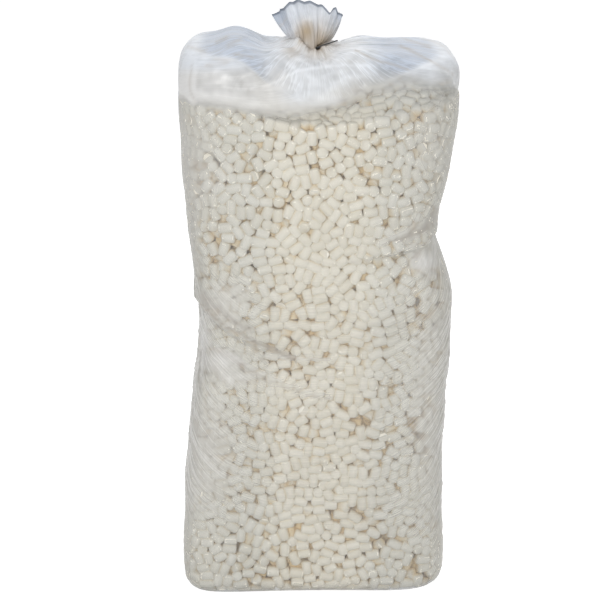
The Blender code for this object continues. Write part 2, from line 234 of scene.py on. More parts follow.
def on_ring(table, turn):
    """A value per turn, read at any turn."""
    return lookup(np.stack([table, table]), np.zeros_like(turn), turn_column(turn))


quarters = {"right": 0.0, "back": math.pi / 2, "left": math.pi, "front": -math.pi / 2}
for name, turn in quarters.items():
    half_width = float(side_radius(np.array(turn), np.array(0.5)))
    print(name, "half width at half a metre:", round(half_width, 4))

# %% [markdown]
# ## The two waist folds
#
# On each side the film is gripped between peanuts and has folded over itself, so the bag above
# hangs over the bag below. The folds are seen in the photograph as dark lines, so their places
# are read there, in pixels, and each pixel is cast from the camera onto the bag. The fold then
# goes into the table of the side walls, so that peanuts and film both follow it.

# %% The folds, from pixels to the wall
LEFT_FOLD_PIXELS = (
    (199, 303), (206, 314), (217, 326), (232, 337), (250, 346), (268, 352), (300, 356),
)
RIGHT_FOLD_PIXELS = (
    (434, 236), (425, 247), (412, 251), (396, 255), (376, 259), (352, 262), (330, 264),
)
FOLD_OVERHANG = 0.0075
FOLD_EDGE = 0.0035
FOLD_SPREAD = 0.028
FOLD_END = 0.55
PAST_SILHOUETTE = 1.1


def on_bag(pixels):
    """The turns and heights of pixels cast from the camera onto the bag."""
    places = [film_tree.ray_cast(eye, pixel_ray(x, y))[0] for x, y in pixels]
    return [(math.atan2(place.y, place.x), place.z) for place in places]


def half_turn(angle):
    """An angle brought between minus and plus half a turn."""
    return (angle + math.pi) % (2 * math.pi) - math.pi


def fold_relief(pixels):
    """How far a fold moves the wall: out above its line and in below it, with a sharp step."""
    line = on_bag(pixels)
    centre = line[0][0]
    along = [half_turn(turn - centre) for turn, level in line]
    forward_turns = np.sign(along[-1]) * half_turn(turns - centre)
    fold_height = np.interp(forward_turns, np.abs(along), [level for turn, level in line])
    ends = smooth_step((abs(along[-1]) - forward_turns) / FOLD_END)
    ends *= smooth_step((forward_turns + PAST_SILHOUETTE) / PAST_SILHOUETTE)
    above = levels[:, None] - fold_height[None, :]
    step = np.tanh(above / FOLD_EDGE) * np.exp(-np.abs(above) / FOLD_SPREAD)
    return FOLD_OVERHANG * step * ends[None, :]


wall += fold_relief(LEFT_FOLD_PIXELS) + fold_relief(RIGHT_FOLD_PIXELS)
for pixels in (LEFT_FOLD_PIXELS, RIGHT_FOLD_PIXELS):
    print("fold heights", [round(level, 3) for turn, level in on_bag(pixels)])

# %% [markdown]
# ## The peanuts
#
# The real bag holds several thousand foam cylinders. Only those near the film can be seen, so
# this scene makes a shell of them, two deep, and a plain core behind. They could be scattered at
# random, but then they would cut through each other. Here a small packing simulation pushes them
# apart and against the film, as pouring and pressing does: each peanut is two linked balls, balls
# that overlap move apart, and balls outside the bag move back in.

# %% Where the shell of peanuts may be
PEANUT_DIAMETER = 0.020
PEANUT_LENGTH = 0.027
BALL_RADIUS = 0.0098
HALF_LINK = 0.0038
SHELL_DEPTH = 0.041
FILM_ROOM = 0.0008
RIGHT_HEAP_RAISE = 0.040
RIGHT_RAISE_FROM = 0.02
RIGHT_RAISE_OVER = 0.16
RAISE_DEEP_TO = 0.30
RAISE_DEEP_OVER = 0.2
LEFT_HEAP_RAISE = 0.028
LEFT_RAISE_FROM = -0.05
LEFT_RAISE_OVER = 0.12
LEVEL_STEP = 0.01
TURN_STEP = 0.02
SEED = 11

chance = np.random.default_rng(SEED)


def heap_level(x, y):
    """Height of the heap of packed peanuts over a point. It stands higher at both sides."""
    turn = np.arctan2(y, x)
    share = 1 - np.hypot(x, y) / on_ring(rim_radius, turn)
    raised = RIGHT_HEAP_RAISE * smooth_step((x - RIGHT_RAISE_FROM) / RIGHT_RAISE_OVER)
    raised *= smooth_step((RAISE_DEEP_TO - np.abs(y)) / RAISE_DEEP_OVER)
    raised += LEFT_HEAP_RAISE * smooth_step((LEFT_RAISE_FROM - x) / LEFT_RAISE_OVER)
    return lookup(heap_top, np.maximum(share, 0) * SHARES, turn_column(turn)) + raised


def fence(points):
    """How far each point is inside the side wall, the way out, its depth in the heap, its level."""
    turn = np.arctan2(points[:, 1], points[:, 0])
    out = np.hypot(points[:, 0], points[:, 1])
    level = points[:, 2]
    radius = side_radius(turn, level)
    rise = side_radius(turn, level + LEVEL_STEP) - side_radius(turn, level - LEVEL_STEP)
    rise = rise / (2 * LEVEL_STEP)
    spin = side_radius(turn + TURN_STEP, level) - side_radius(turn - TURN_STEP, level)
    spin = spin / (2 * TURN_STEP * radius)
    size = np.sqrt(1 + rise ** 2 + spin ** 2)
    around = np.stack([-np.sin(turn), np.cos(turn), np.zeros_like(turn)], 1)
    outwards = np.stack([np.cos(turn), np.sin(turn), np.zeros_like(turn)], 1)
    normal = (outwards - around * spin[:, None] - np.outer(rise, (0, 0, 1))) / size[:, None]
    side_gap = (radius - out) / size
    top = heap_level(points[:, 0], points[:, 1])
    return side_gap, normal, top - level, level


# %% Random first places
SCATTER_LOW = (-0.275, -0.215, 0.008)
SCATTER_HIGH = (0.275, 0.215, 1.075)
FIRST_ROOM = 0.008
BASE_SHARE = 0.6


def scatter(count):
    """Random first places in the shell."""
    kept = []
    while sum(len(part) for part in kept) < count:
        tries = chance.uniform(SCATTER_LOW, SCATTER_HIGH, (count * 4, 3))
        side_gap, normal, top_gap, level = fence(tries)
        inside = (side_gap > FIRST_ROOM) & (top_gap > FIRST_ROOM)
        near = (side_gap < SHELL_DEPTH) | (top_gap < SHELL_DEPTH)
        near |= level < SHELL_DEPTH * BASE_SHARE
        kept.append(tries[inside & near])
    return np.concatenate(kept)[:count]


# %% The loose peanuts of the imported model
LOOSE_NAMES = sorted(
    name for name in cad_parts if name.startswith("peanut_") and name != "peanut_fill"
)


def middle_and_axis(name):
    """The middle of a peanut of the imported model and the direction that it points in."""
    corners = [tuple(vertex.co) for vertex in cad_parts[name].data.vertices]
    points = np.unique(np.round(corners, 5), axis=0)
    middle = points.mean(0)
    spread, directions = np.linalg.eigh(np.cov((points - middle).T))
    return middle, directions[:, np.argmax(spread)]


loose = [middle_and_axis(name) for name in LOOSE_NAMES]
loose_middles = np.array([middle for middle, axis in loose])
loose_axes = np.array([axis for middle, axis in loose])
print(len(loose), "loose peanuts, the lowest at", round(loose_middles[:, 2].min(), 3))

# %% The packing simulation
CELL = 2 * BALL_RADIUS
GRID_LOW = np.array([-0.33, -0.27, -0.05])
GRID_CELLS = np.array([34, 28, 62])
PUSH_SHARE = 0.9
PRESS = 0.0011
SQUARING = 0.10
SQUARE_BELOW = 0.70
SQUARE_OVER = 0.3
LAYING = 0.12
LAY_BELOW = 0.80


def two_balls(middles, axes):
    """The two balls of each peanut, one after the other."""
    return np.stack([middles - axes * HALF_LINK, middles + axes * HALF_LINK], 1).reshape(-1, 3)


def pushes(balls, partner):
    """How far the balls around each ball push it: half of each overlap."""
    where = ((balls - GRID_LOW) / CELL).astype(int)
    key = (where[:, 0] * GRID_CELLS[1] + where[:, 1]) * GRID_CELLS[2] + where[:, 2]
    order = np.argsort(key, kind="stable")
    ranked = key[order]
    starts = np.searchsorted(ranked, ranked)
    slot = np.arange(len(balls)) - starts
    table = np.full((int(GRID_CELLS.prod()), slot.max() + 1), len(balls))
    table[ranked, slot] = order
    far = np.vstack([balls, [9.0, 9.0, 9.0]])
    total = np.zeros_like(balls)
    for dx in (-1, 0, 1):
        for dy in (-1, 0, 1):
            for dz in (-1, 0, 1):
                near = table[key + (dx * GRID_CELLS[1] + dy) * GRID_CELLS[2] + dz]
                for column in range(near.shape[1]):
                    other = near[:, column]
                    apart = balls - far[other]
                    distance = np.sqrt((apart ** 2).sum(1)) + 1e-9
                    overlap = np.clip(CELL - distance, 0, None)
                    overlap[(other == partner) | (distance < 1e-8)] = 0
                    total += apart * (overlap / distance / 2)[:, None]
    return total


def packed(middles, axes, fixed, rounds):
    """The peanuts after they have pushed each other apart inside the bag."""
    count = len(middles)
    partner = np.arange(2 * (count + len(fixed[0])))
    partner = np.where(partner % 2 == 0, partner + 1, partner - 1)
    still = two_balls(*fixed)
    for number in range(rounds):
        balls = two_balls(middles, axes)
        moved = balls + pushes(np.vstack([balls, still]), partner)[: 2 * count] * PUSH_SHARE
        side_gap, normal, top_gap, level = fence(moved)
        press = PRESS * (1 - number / rounds)
        to_side = (side_gap < top_gap) & (side_gap < level)
        to_top = ~to_side & (top_gap < level)
        moved += normal * (press * to_side)[:, None]
        moved[:, 2] += press * to_top - press * (~to_side & ~to_top)
        side_gap, normal, top_gap, level = fence(moved)
        moved -= normal * np.clip(BALL_RADIUS + FILM_ROOM - side_gap, 0, None)[:, None]
        moved[:, 2] -= np.clip(BALL_RADIUS - top_gap, 0, None)
        moved[:, 2] += np.clip(BALL_RADIUS + FILM_ROOM - moved[:, 2], 0, None)
        pairs = moved.reshape(-1, 2, 3)
        middles = pairs.mean(1)
        axes = pairs[:, 1] - pairs[:, 0]
        low = smooth_step((SQUARE_BELOW - middles[:, 2]) / SQUARE_OVER)[:, None] * SQUARING
        lying = axes * (1, 1, 0)
        upright = axes * (0, 0, 1)
        flat = (np.abs(axes[:, 2]) < np.hypot(axes[:, 0], axes[:, 1]))[:, None]
        axes = axes * (1 - low) + np.where(flat, lying, upright) * low
        at_side = to_side.reshape(-1, 2).all(1) & (middles[:, 2] < LAY_BELOW)
        wall_side = normal.reshape(-1, 2, 3).mean(1) * at_side[:, None]
        axes = axes - wall_side * (axes * wall_side).sum(1)[:, None] * LAYING
        axes /= np.linalg.norm(axes, axis=1)[:, None] + 1e-9
    return middles, axes


# %% Packing the shell
SHELL_PEANUTS = 7400
ROUNDS = 30
OUTER_DEPTH = 0.0155

middles = scatter(SHELL_PEANUTS)
axes = chance.normal(size=(SHELL_PEANUTS, 3))
axes /= np.linalg.norm(axes, axis=1)[:, None]
middles, axes = packed(middles, axes, (loose_middles, loose_axes), ROUNDS)
side_gap, normal, top_gap, level = fence(middles)
nearest = np.minimum(np.minimum(side_gap, top_gap), level)
outer = nearest < OUTER_DEPTH
print("outer peanuts", outer.sum(), "inner", (~outer).sum(), "deepest", round(nearest.max(), 3))

# %% [markdown]
# ### One peanut, many times
#
# A peanut is a short foam cylinder with soft edges. It is made once, and Geometry Nodes put a
# copy on each packed point, turned along its axis, with a little change of length and girth. The
# far layer gets a plainer copy with fewer faces, because little of it shows.

# %% Short ways to make a mesh
def mesh_object(name, points, faces):
    """A new object with a smoothly shaded mesh."""
    mesh = bpy.data.meshes.new(name)
    mesh.from_pydata(points, [], faces)
    mesh.shade_smooth()
    return in_scene(name, mesh)


def faces_between(rings, columns, first=0):
    """The faces between rings of points that follow each other, from the lowest ring up."""
    faces = []
    for ring in range(rings - 1):
        low = first + ring * columns
        high = low + columns
        for column in range(columns):
            after = (column + 1) % columns
            faces.append((low + column, low + after, high + after, high + column))
    return faces


# %% One peanut
PEANUT_SIDES = 10
FAR_SIDES = 8
FAR_GIRTH = 0.92
EDGE_SOFTNESS = 0.0030
GIRTH_GROWTH = 1.13
LENGTH_GROWTH = 1.02
SHARP_EDGE = math.radians(70)


def peanut_shape(name, sides, rings):
    """A foam cylinder along X about its own middle, from rings of a place and a radius."""
    points = []
    for along, across in rings:
        for side in range(sides):
            angle = 2 * math.pi * side / sides
            points.append((along, across * math.cos(angle), across * math.sin(angle)))
    ends = [tuple(reversed(range(sides))), tuple(range(len(points) - sides, len(points)))]
    made = mesh_object(name, points, ends + faces_between(len(rings), sides))
    made.data.set_sharp_from_angle(angle=SHARP_EDGE)
    return made


radius = PEANUT_DIAMETER / 2 * GIRTH_GROWTH
half = PEANUT_LENGTH / 2 * LENGTH_GROWTH
near_rings = [
    (-half, radius - EDGE_SOFTNESS),
    (-half + EDGE_SOFTNESS, radius),
    (half - EDGE_SOFTNESS, radius),
    (half, radius - EDGE_SOFTNESS),
]
far_rings = [(-half, radius * FAR_GIRTH), (half, radius * FAR_GIRTH)]
near_peanut = peanut_shape("near_peanut_shape", PEANUT_SIDES, near_rings)
far_peanut = peanut_shape("far_peanut_shape", FAR_SIDES, far_rings)
print("faces of a near peanut:", len(near_peanut.data.polygons))
print("faces of a far peanut:", len(far_peanut.data.polygons))

# %% [markdown]
# ### The foam's finish
#
# The foam is ivory, dull and a little blotchy, and no two peanuts have quite the same tone. An
# image could be painted on, but seven thousand peanuts would all show the same one. Noise on
# Object coordinates differs from place to place, and a tint of its own goes with each copy. In
# the gaps light bounces from foam to foam and turns warm, so deep points get a warmer colour: a
# painted bounce light.

# %% The foam's colours
FOAM_COLOUR = (0.84, 0.81, 0.73)
FOAM_SHADE = (0.76, 0.72, 0.62)
# Painted bounce light: the warm colour that deep points in the gaps get.
FOAM_PAINTED_BOUNCE = (0.80, 0.63, 0.36)
BLOTCH_SCALE = 55.0
SKIN_SCALE = 900.0


# %% Short ways to add nodes
class Nodes:
    """Short ways to add nodes to a tree. Each gives back what the next node needs."""

    def __init__(self, tree):
        self.tree = tree

    def add(self, kind, inputs=None, **settings):
        """A node with its settings. An input is a value, or another node's output."""
        node = self.tree.nodes.new(kind)
        for name, value in settings.items():
            setattr(node, name, value)
        for name, given in (inputs or {}).items():
            if isinstance(given, bpy.types.NodeSocket):
                self.tree.links.new(given, node.inputs[name])
            else:
                node.inputs[name].default_value = given
        return node

    def value(self, name, output="Fac"):
        """What a point of the mesh keeps under a name."""
        return self.add("ShaderNodeAttribute", attribute_name=name).outputs[output]

    def maths(self, operation, *given):
        node = self.add("ShaderNodeMath", dict(enumerate(given)), operation=operation)
        return node.outputs["Value"]

    def mixed(self, factor, first, second):
        """A colour between two others."""
        inputs = {"Factor": factor}
        for name, given in (("A", first), ("B", second)):
            inputs[name] = (*given, 1) if isinstance(given, tuple) else given
        return self.add("ShaderNodeMix", inputs, data_type="RGBA").outputs["Result"]

    def place(self):
        return self.add("ShaderNodeTexCoord").outputs["Object"]

    def noise(self, vector, scale, detail, distortion=0.0):
        inputs = {"Vector": vector, "Scale": scale, "Detail": detail, "Distortion": distortion}
        return self.add("ShaderNodeTexNoise", inputs).outputs["Fac"]

    def bump(self, height, strength, distance):
        inputs = {"Height": height, "Strength": strength, "Distance": distance}
        return self.add("ShaderNodeBump", inputs).outputs["Normal"]

    def surface(self, shader):
        self.add("ShaderNodeOutputMaterial", {"Surface": shader})


def new_material(name):
    """A material with no nodes yet, and the means to add them."""
    made = bpy.data.materials.new(name)
    made.use_nodes = True
    made.node_tree.nodes.clear()
    return made, Nodes(made.node_tree)


# %% The foam's finish
def foam(name):
    """Foam: pale, dull, a little different from peanut to peanut, painted warmer in the gaps as
    bounce light.
    """
    made, nodes = new_material(name)
    blotch = nodes.noise(nodes.place(), BLOTCH_SCALE, 3.0)
    skin = nodes.noise(nodes.place(), SKIN_SCALE, 2.0)
    tinted = nodes.maths("MULTIPLY_ADD", blotch, 0.5, nodes.value("tint"))
    colour = nodes.mixed(tinted, FOAM_COLOUR, FOAM_SHADE)
    colour = nodes.mixed(nodes.value("deep"), colour, FOAM_PAINTED_BOUNCE)
    shader = nodes.add("ShaderNodeBsdfPrincipled", {
        "Base Color": colour,
        "Roughness": 0.85,
        "Specular IOR Level": 0.2,
        "Normal": nodes.bump(skin, 0.25, 0.0006),
    })
    nodes.surface(shader.outputs["BSDF"])
    return made


packed_foam = foam("packed foam")
loose_foam = foam("loose foam")
print("the foam's finish has", len(packed_foam.node_tree.nodes), "nodes")

# %% The tree that puts a peanut on every point
LENGTH_VARIETY = 0.10
GIRTH_VARIETY = 0.05
PALEST_TINT = -0.25
DARKEST_TINT = 0.45


def peanut_tree(seed):
    """Geometry Nodes: a turned copy of a peanut on each point, made real, with a tint."""
    tree = bpy.data.node_groups.new("peanuts on points", "GeometryNodeTree")
    for name, kind in (
        ("Points", "Geometry"),
        ("Peanut", "Object"),
        ("Length variety", "Float"),
        ("Girth variety", "Float"),
        ("Foam", "Material"),
    ):
        tree.interface.new_socket(name, in_out="INPUT", socket_type="NodeSocket" + kind)
    tree.interface.new_socket("Peanuts", in_out="OUTPUT", socket_type="NodeSocketGeometry")
    nodes = Nodes(tree)
    given = nodes.add("NodeGroupInput").outputs
    shape = nodes.add("GeometryNodeObjectInfo", {"Object": given["Peanut"]})
    axis = nodes.add(
        "GeometryNodeInputNamedAttribute", {"Name": "axis"}, data_type="FLOAT_VECTOR"
    )
    turned = nodes.add(
        "FunctionNodeAlignRotationToVector", {"Vector": axis.outputs["Attribute"]}, axis="X"
    )

    def random_value(low, high, own_seed):
        inputs = {"Seed": own_seed, 2: low, 3: high}
        return nodes.add("FunctionNodeRandomValue", inputs, data_type="FLOAT").outputs[1]

    sizes = []
    for number, name in enumerate(("Length variety", "Girth variety")):
        low = nodes.maths("SUBTRACT", 1.0, given[name])
        high = nodes.maths("ADD", 1.0, given[name])
        sizes.append(random_value(low, high, seed + number))
    scale = nodes.add("ShaderNodeCombineXYZ", {"X": sizes[0], "Y": sizes[1], "Z": sizes[1]})
    copies = nodes.add("GeometryNodeInstanceOnPoints", {
        "Points": given["Points"],
        "Instance": shape.outputs["Geometry"],
        "Rotation": turned.outputs["Rotation"],
        "Scale": scale.outputs["Vector"],
    })
    tint = random_value(PALEST_TINT, DARKEST_TINT, seed + 2)
    marked = nodes.add(
        "GeometryNodeStoreNamedAttribute",
        {"Geometry": copies.outputs["Instances"], "Name": "tint", "Value": tint},
        data_type="FLOAT",
        domain="INSTANCE",
    )
    real = nodes.add("GeometryNodeRealizeInstances", {"Geometry": marked.outputs["Geometry"]})
    finish = nodes.add(
        "GeometryNodeSetMaterial",
        {"Geometry": real.outputs["Geometry"], "Material": given["Foam"]},
    )
    nodes.add("NodeGroupOutput", {"Peanuts": finish.outputs["Geometry"]})
    return tree


peanut_nodes = peanut_tree(SEED)
input_keys = {
    item.name: item.identifier
    for item in peanut_nodes.interface.items_tree
    if item.in_out == "INPUT"
}


def peanut_piece(name, places, directions, shape, look):
    """One piece of many peanuts, as a plain mesh at the origin."""
    points = mesh_object(name + "_points", [tuple(place) for place in places], [])
    axis = points.data.attributes.new("axis", "FLOAT_VECTOR", "POINT")
    axis.data.foreach_set("vector", np.asarray(directions, np.float32).ravel())
    modifier = points.modifiers.new("peanuts", "NODES")
    modifier.node_group = peanut_nodes
    modifier[input_keys["Peanut"]] = shape
    modifier[input_keys["Length variety"]] = LENGTH_VARIETY
    modifier[input_keys["Girth variety"]] = GIRTH_VARIETY
    modifier[input_keys["Foam"]] = look
    bpy.context.view_layer.update()
    graph = bpy.context.evaluated_depsgraph_get()
    plain = bpy.data.meshes.new_from_object(points.evaluated_get(graph))
    plain.name = name
    bpy.data.objects.remove(points)
    triangles = sum(len(face.vertices) - 2 for face in plain.polygons)
    print(name, len(places), "peanuts,", triangles, "triangles")
    return in_scene(name, plain)


# %% The pieces of the shell
HALF_HEIGHT = 0.5
FLAT_GAP = 0.0006
MOST_FLATTENED = 0.02
DEEP_FROM = 0.003
DEEP_OVER = 0.011


def mark(made, name, values):
    """Keeps a value at each point of a piece, for its material to read."""
    attribute = made.data.attributes.new(name, "FLOAT", "POINT")
    attribute.data.foreach_set("value", np.asarray(values, np.float32).ravel())


def press_flat(made):
    """Flattens a piece's peanuts where they would stand out of the bag, and marks their depth."""
    mesh = made.data
    points = np.empty(len(mesh.vertices) * 3, np.float32)
    mesh.vertices.foreach_get("co", points)
    points = points.reshape(-1, 3).astype(float)
    side_gap, normal, top_gap, level = fence(points)
    points -= normal * np.clip(FLAT_GAP - side_gap, 0, MOST_FLATTENED)[:, None]
    points[:, 2] = np.maximum(points[:, 2], FLAT_GAP)
    mesh.vertices.foreach_set("co", points.ravel())
    gap = np.minimum(np.minimum(side_gap, top_gap), level)
    # The depth sets the painted bounce light: deeper points get the warm colour of the gaps.
    mark(made, "deep", smooth_step((gap - DEEP_FROM) / DEEP_OVER))
    mesh.update()


low = middles[:, 2] < HALF_HEIGHT


def shell_piece(name, chosen, shape):
    """The peanuts of the shell that are chosen, pressed against the film."""
    made = peanut_piece(name, middles[chosen], axes[chosen], shape, packed_foam)
    press_flat(made)
    return made


near_low = shell_piece("near_peanuts_low", outer & low, near_peanut)
near_high = shell_piece("near_peanuts_high", outer & ~low, near_peanut)
far_all = shell_piece("far_peanuts", ~outer, far_peanut)
loose_all = peanut_piece("loose_peanuts", loose_middles, loose_axes, near_peanut, loose_foam)
bpy.data.objects.remove(near_peanut)
bpy.data.objects.remove(far_peanut)

# %% [markdown]
# ### The core
#
# Between the deepest peanuts of the shell one could look right through the bag, which the real
# heap doesn't allow. A third layer would cost as many faces as the first two. A plain closed
# core in the painted warm bounce tone of the gaps does the same, because only specks of it can
# be seen.

# %% The core behind them
CORE_DEPTH = 0.029
CORE_COLUMNS = 64
CORE_ROWS = 26
CORE_TOP = 0.93
CORE_DOME = (0.3, 0.6, 0.85)


def closed_rings(name, rings, bottom, top):
    """A closed mesh of rings of equal length, from the lowest up, with a point at each end."""
    rows, columns = rings.shape[:2]
    points = [bottom, *(tuple(point) for point in rings.reshape(-1, 3)), top]
    last = 1 + (rows - 1) * columns
    faces = faces_between(rows, columns, first=1)
    for column in range(columns):
        after = (column + 1) % columns
        faces.append((0, 1 + after, 1 + column))
        faces.append((len(points) - 1, last + column, last + after))
    return mesh_object(name, points, faces)


core_turns = np.arange(CORE_COLUMNS) * 2 * math.pi / CORE_COLUMNS
core_rings = []
for level in np.linspace(CORE_DEPTH, CORE_TOP, CORE_ROWS):
    height = np.full(CORE_COLUMNS, level)
    radius = side_radius(core_turns, height) - CORE_DEPTH
    ring = np.stack([radius * np.cos(core_turns), radius * np.sin(core_turns), height], 1)
    core_rings.append(ring)
shoulder = core_rings[-1]
for share in CORE_DOME:
    x, y = shoulder[:, 0] * (1 - share), shoulder[:, 1] * (1 - share)
    core_rings.append(np.stack([x, y, heap_level(x, y) - CORE_DEPTH], 1))
top_middle = float(heap_level(np.zeros(1), np.zeros(1))[0]) - CORE_DEPTH
core = closed_rings("peanut_core", np.array(core_rings), (0, 0, CORE_DEPTH), (0, 0, top_middle))
core.data.materials.append(packed_foam)
# The whole core is marked deep, so it takes the painted warm bounce tone of the gaps.
mark(core, "deep", np.ones(len(core.data.vertices)))
print("core:", len(core.data.polygons), "faces")

# %% [markdown]
# ## The film
#
# The film is one sheet from the base to the ruffled mouth. A cloth simulation could blow it on to
# the peanuts, but its folds would fall anywhere. Here the sheet is a fine grid over the measured
# walls, and its relief is added field by field: dents between the peanuts, tension wrinkles that
# hang like a smile between the sides, creases that run to the tie, and the pleats of the neck.

# %% The columns and rows of the sheet
FILM_COLUMNS = 360
SIDE_ROWS = 176
ARC_ROWS = 6
SHOULDER_ROWS = 46
NECK_ROWS = 4
CROWN_ROWS = 22
EVEN_LEVEL = 0.45
FINE_TURNS = 2881

fine = np.linspace(-math.pi / 2, 3 * math.pi / 2, FINE_TURNS)
even_radius = side_radius(fine, np.full(len(fine), EVEN_LEVEL))
edge = np.stack([even_radius * np.cos(fine), even_radius * np.sin(fine)], 1)
walked = np.concatenate([[0], np.cumsum(np.linalg.norm(np.diff(edge, axis=0), axis=1))])
girth = walked[-1]
column_walk = np.arange(FILM_COLUMNS) * girth / FILM_COLUMNS
column_turn = np.interp(column_walk, walked, fine)
print("girth:", round(girth, 3), "m, a column every", round(girth / FILM_COLUMNS * 1000, 1), "mm")

# %% The smooth sheet
NECK_LENGTH = 0.012
CROWN_HEIGHT = 0.080
CROWN_HALF_WIDTH = 0.068
CROWN_HALF_DEPTH = 0.040
LEFT_FLARE = 0.30
RIGHT_FLARE = 0.70
SKIRT_DROP = 0.028
SKIRT_TURN = -112
SKIRT_SPREAD = 38
SKIRT_TOP = 0.30
CROWN_LEAN = -0.012
MOUTH_CLOSING = 0.45
BASE_SHARES = (0.35, 0.7, 0.9)
NECK_EASE = 0.14

cosines = np.cos(column_turn)
sines = np.sin(column_turn)
edge_top = on_ring(side_top, column_turn)
rim_in = on_ring(rim_radius, column_turn)


def ring(radius, level, shift=0.0):
    """A row of the sheet: a level line round the bag."""
    level = np.broadcast_to(level, radius.shape)
    return np.stack([radius * cosines + shift, radius * sines, level], 1)


def bell(distance, spread):
    """One in the middle, fading to nothing on both sides."""
    return np.exp(-((distance / spread) ** 2))


def degrees_from(middle):
    """How many degrees each column is from a turn in degrees."""
    return (np.degrees(column_turn) - middle + 180) % 360 - 180


# %% The rows of the base and the sides
rows = []
base_radius = side_radius(column_turn, np.full(FILM_COLUMNS, BASE_ROUND)) - BASE_ROUND
for share in BASE_SHARES:
    rows.append(ring(base_radius * share, 0.0))
for step in range(ARC_ROWS):
    turn = math.pi / 2 * step / ARC_ROWS
    radius = base_radius + BASE_ROUND * math.sin(turn)
    rows.append(ring(radius, BASE_ROUND * (1 - math.cos(turn))))
for step in range(SIDE_ROWS):
    level = BASE_ROUND + (edge_top - BASE_ROUND) * step / SIDE_ROWS
    rows.append(ring(side_radius(column_turn, level), level))
print("rows up to the rim:", len(rows))

# %% The rows of the rim, the shoulders and the neck
side_in = side_radius(column_turn, edge_top)
for step in range(ARC_ROWS):
    turn = math.pi / 2 * step / ARC_ROWS
    radius = rim_in + (side_in - rim_in) * math.cos(turn)
    rows.append(ring(radius, edge_top + RIM_ROUND * math.sin(turn)))
for step in range(SHOULDER_ROWS + 1):
    share = step / SHOULDER_ROWS
    radius = rim_in * (1 - share) + NECK_RADIUS * share
    table_row = np.clip(1 - radius / rim_in, 0, 1) * SHARES
    height = lookup(top_film, table_row, turn_column(column_turn))
    near_neck = smooth_step((share - (1 - NECK_EASE)) / NECK_EASE)
    level = height * (1 - near_neck) + NECK_HEIGHT * near_neck
    rows.append(ring(radius, level, NECK_SHIFT * share))
for step in range(1, NECK_ROWS + 1):
    level = NECK_HEIGHT + NECK_LENGTH * step / NECK_ROWS
    rows.append(ring(np.full(FILM_COLUMNS, NECK_RADIUS), level, NECK_SHIFT))
print("rows up to the tie:", len(rows))

# %% The rows of the crown
right_front = smooth_step((cosines + 0.15) / 0.6) * smooth_step((0.6 - sines) / 0.5)
crown_flare = LEFT_FLARE + (RIGHT_FLARE - LEFT_FLARE) * right_front
skirt = bell(degrees_from(SKIRT_TURN), SKIRT_SPREAD)
for step in range(1, CROWN_ROWS + 1):
    share = step / CROWN_ROWS
    flare = share ** crown_flare
    wide = NECK_RADIUS + (CROWN_HALF_WIDTH - NECK_RADIUS) * flare
    deep = (CROWN_HALF_DEPTH - NECK_RADIUS) * flare * (1 - MOUTH_CLOSING * share ** 2)
    x = NECK_SHIFT + CROWN_LEAN * share + wide * cosines
    skirt_wave = math.sin(math.pi * min(share / SKIRT_TOP, 1.0)) * (1 - share)
    height = NECK_HEIGHT + NECK_LENGTH + CROWN_HEIGHT * share - SKIRT_DROP * skirt * skirt_wave
    rows.append(np.stack([x, (NECK_RADIUS + deep) * sines, height], 1))
BASE, SIDE, RIM, SHOULDER, NECK, CROWN = range(6)
zone = np.repeat(
    (BASE, SIDE, RIM, SHOULDER, NECK, CROWN),
    (len(BASE_SHARES), ARC_ROWS + SIDE_ROWS, ARC_ROWS, SHOULDER_ROWS + 1, NECK_ROWS, CROWN_ROWS),
)
sheet = np.array(rows)
print("rows of the sheet:", len(sheet), "triangles:", 2 * len(sheet) * FILM_COLUMNS)

# %% [markdown]
# ### The relief of the film
#
# Thin film over foam is never smooth. It dips between the peanuts, it pulls into fine wrinkles
# where it is tight, and it folds where it is gathered. Each of these is a field of small heights
# over the sheet, made by itself and judged by itself, and their sum is set off along the
# outward direction of each point. The shoulders come first, because everything else rides on them.

# %% The line of the shoulders
RIM_TAPER = 0.06
# Each hump: its place across, its rise and its spread.
SHOULDER_HUMPS = ((-0.165, 0.008, 0.030), (-0.103, -0.009, 0.024), (0.13, -0.008, 0.045))

share_in = np.zeros(sheet.shape[:2])
share_in[zone == SHOULDER] = (np.arange(SHOULDER_ROWS + 1) / SHOULDER_ROWS)[:, None]
share_in[zone > SHOULDER] = 1.0
zones = zone[:, None]
below_rim = smooth_step(1 + (sheet[:, :, 2] - edge_top[None, :]) / RIM_TAPER)
past_rim = 1 - smooth_step((share_in - 0.6) / 0.25)
hump_reach = np.where(zones < SHOULDER, below_rim * (zones > BASE), past_rim * (zones == SHOULDER))
for x, rise, spread in SHOULDER_HUMPS:
    sheet[:, :, 2] += hump_reach * rise * bell(sheet[:, :, 0] - x, spread)
print("shoulders up to", round(sheet[zone == SHOULDER][:, :, 2].max(), 3))


def sheet_normals(grid):
    """The outward direction at each point of the sheet."""
    across = np.roll(grid, -1, 1) - np.roll(grid, 1, 1)
    upward = np.gradient(grid, axis=0)
    normals = np.cross(across, upward)
    return normals / (np.linalg.norm(normals, axis=2, keepdims=True) + 1e-12)


# %% Smooth random fields
FIELD_SIZE = 256


def random_field(a, b, seed, wrap=None):
    """Smooth random values from 0 to 1 over two coordinates, one bump for each unit of each."""
    source = np.random.default_rng(seed).random((FIELD_SIZE + 1, FIELD_SIZE + 1))
    if wrap:
        source[:, wrap] = source[:, 0]
        b = b % wrap
    a = a % FIELD_SIZE
    b = b % FIELD_SIZE
    a0 = np.floor(a).astype(int)
    b0 = np.floor(b).astype(int)
    fa = smooth_step(a - a0)
    fb = smooth_step(b - b0)
    low = source[a0, b0] * (1 - fb) + source[a0, b0 + 1] * fb
    high = source[a0 + 1, b0] * (1 - fb) + source[a0 + 1, b0 + 1] * fb
    return low * (1 - fa) + high * fa


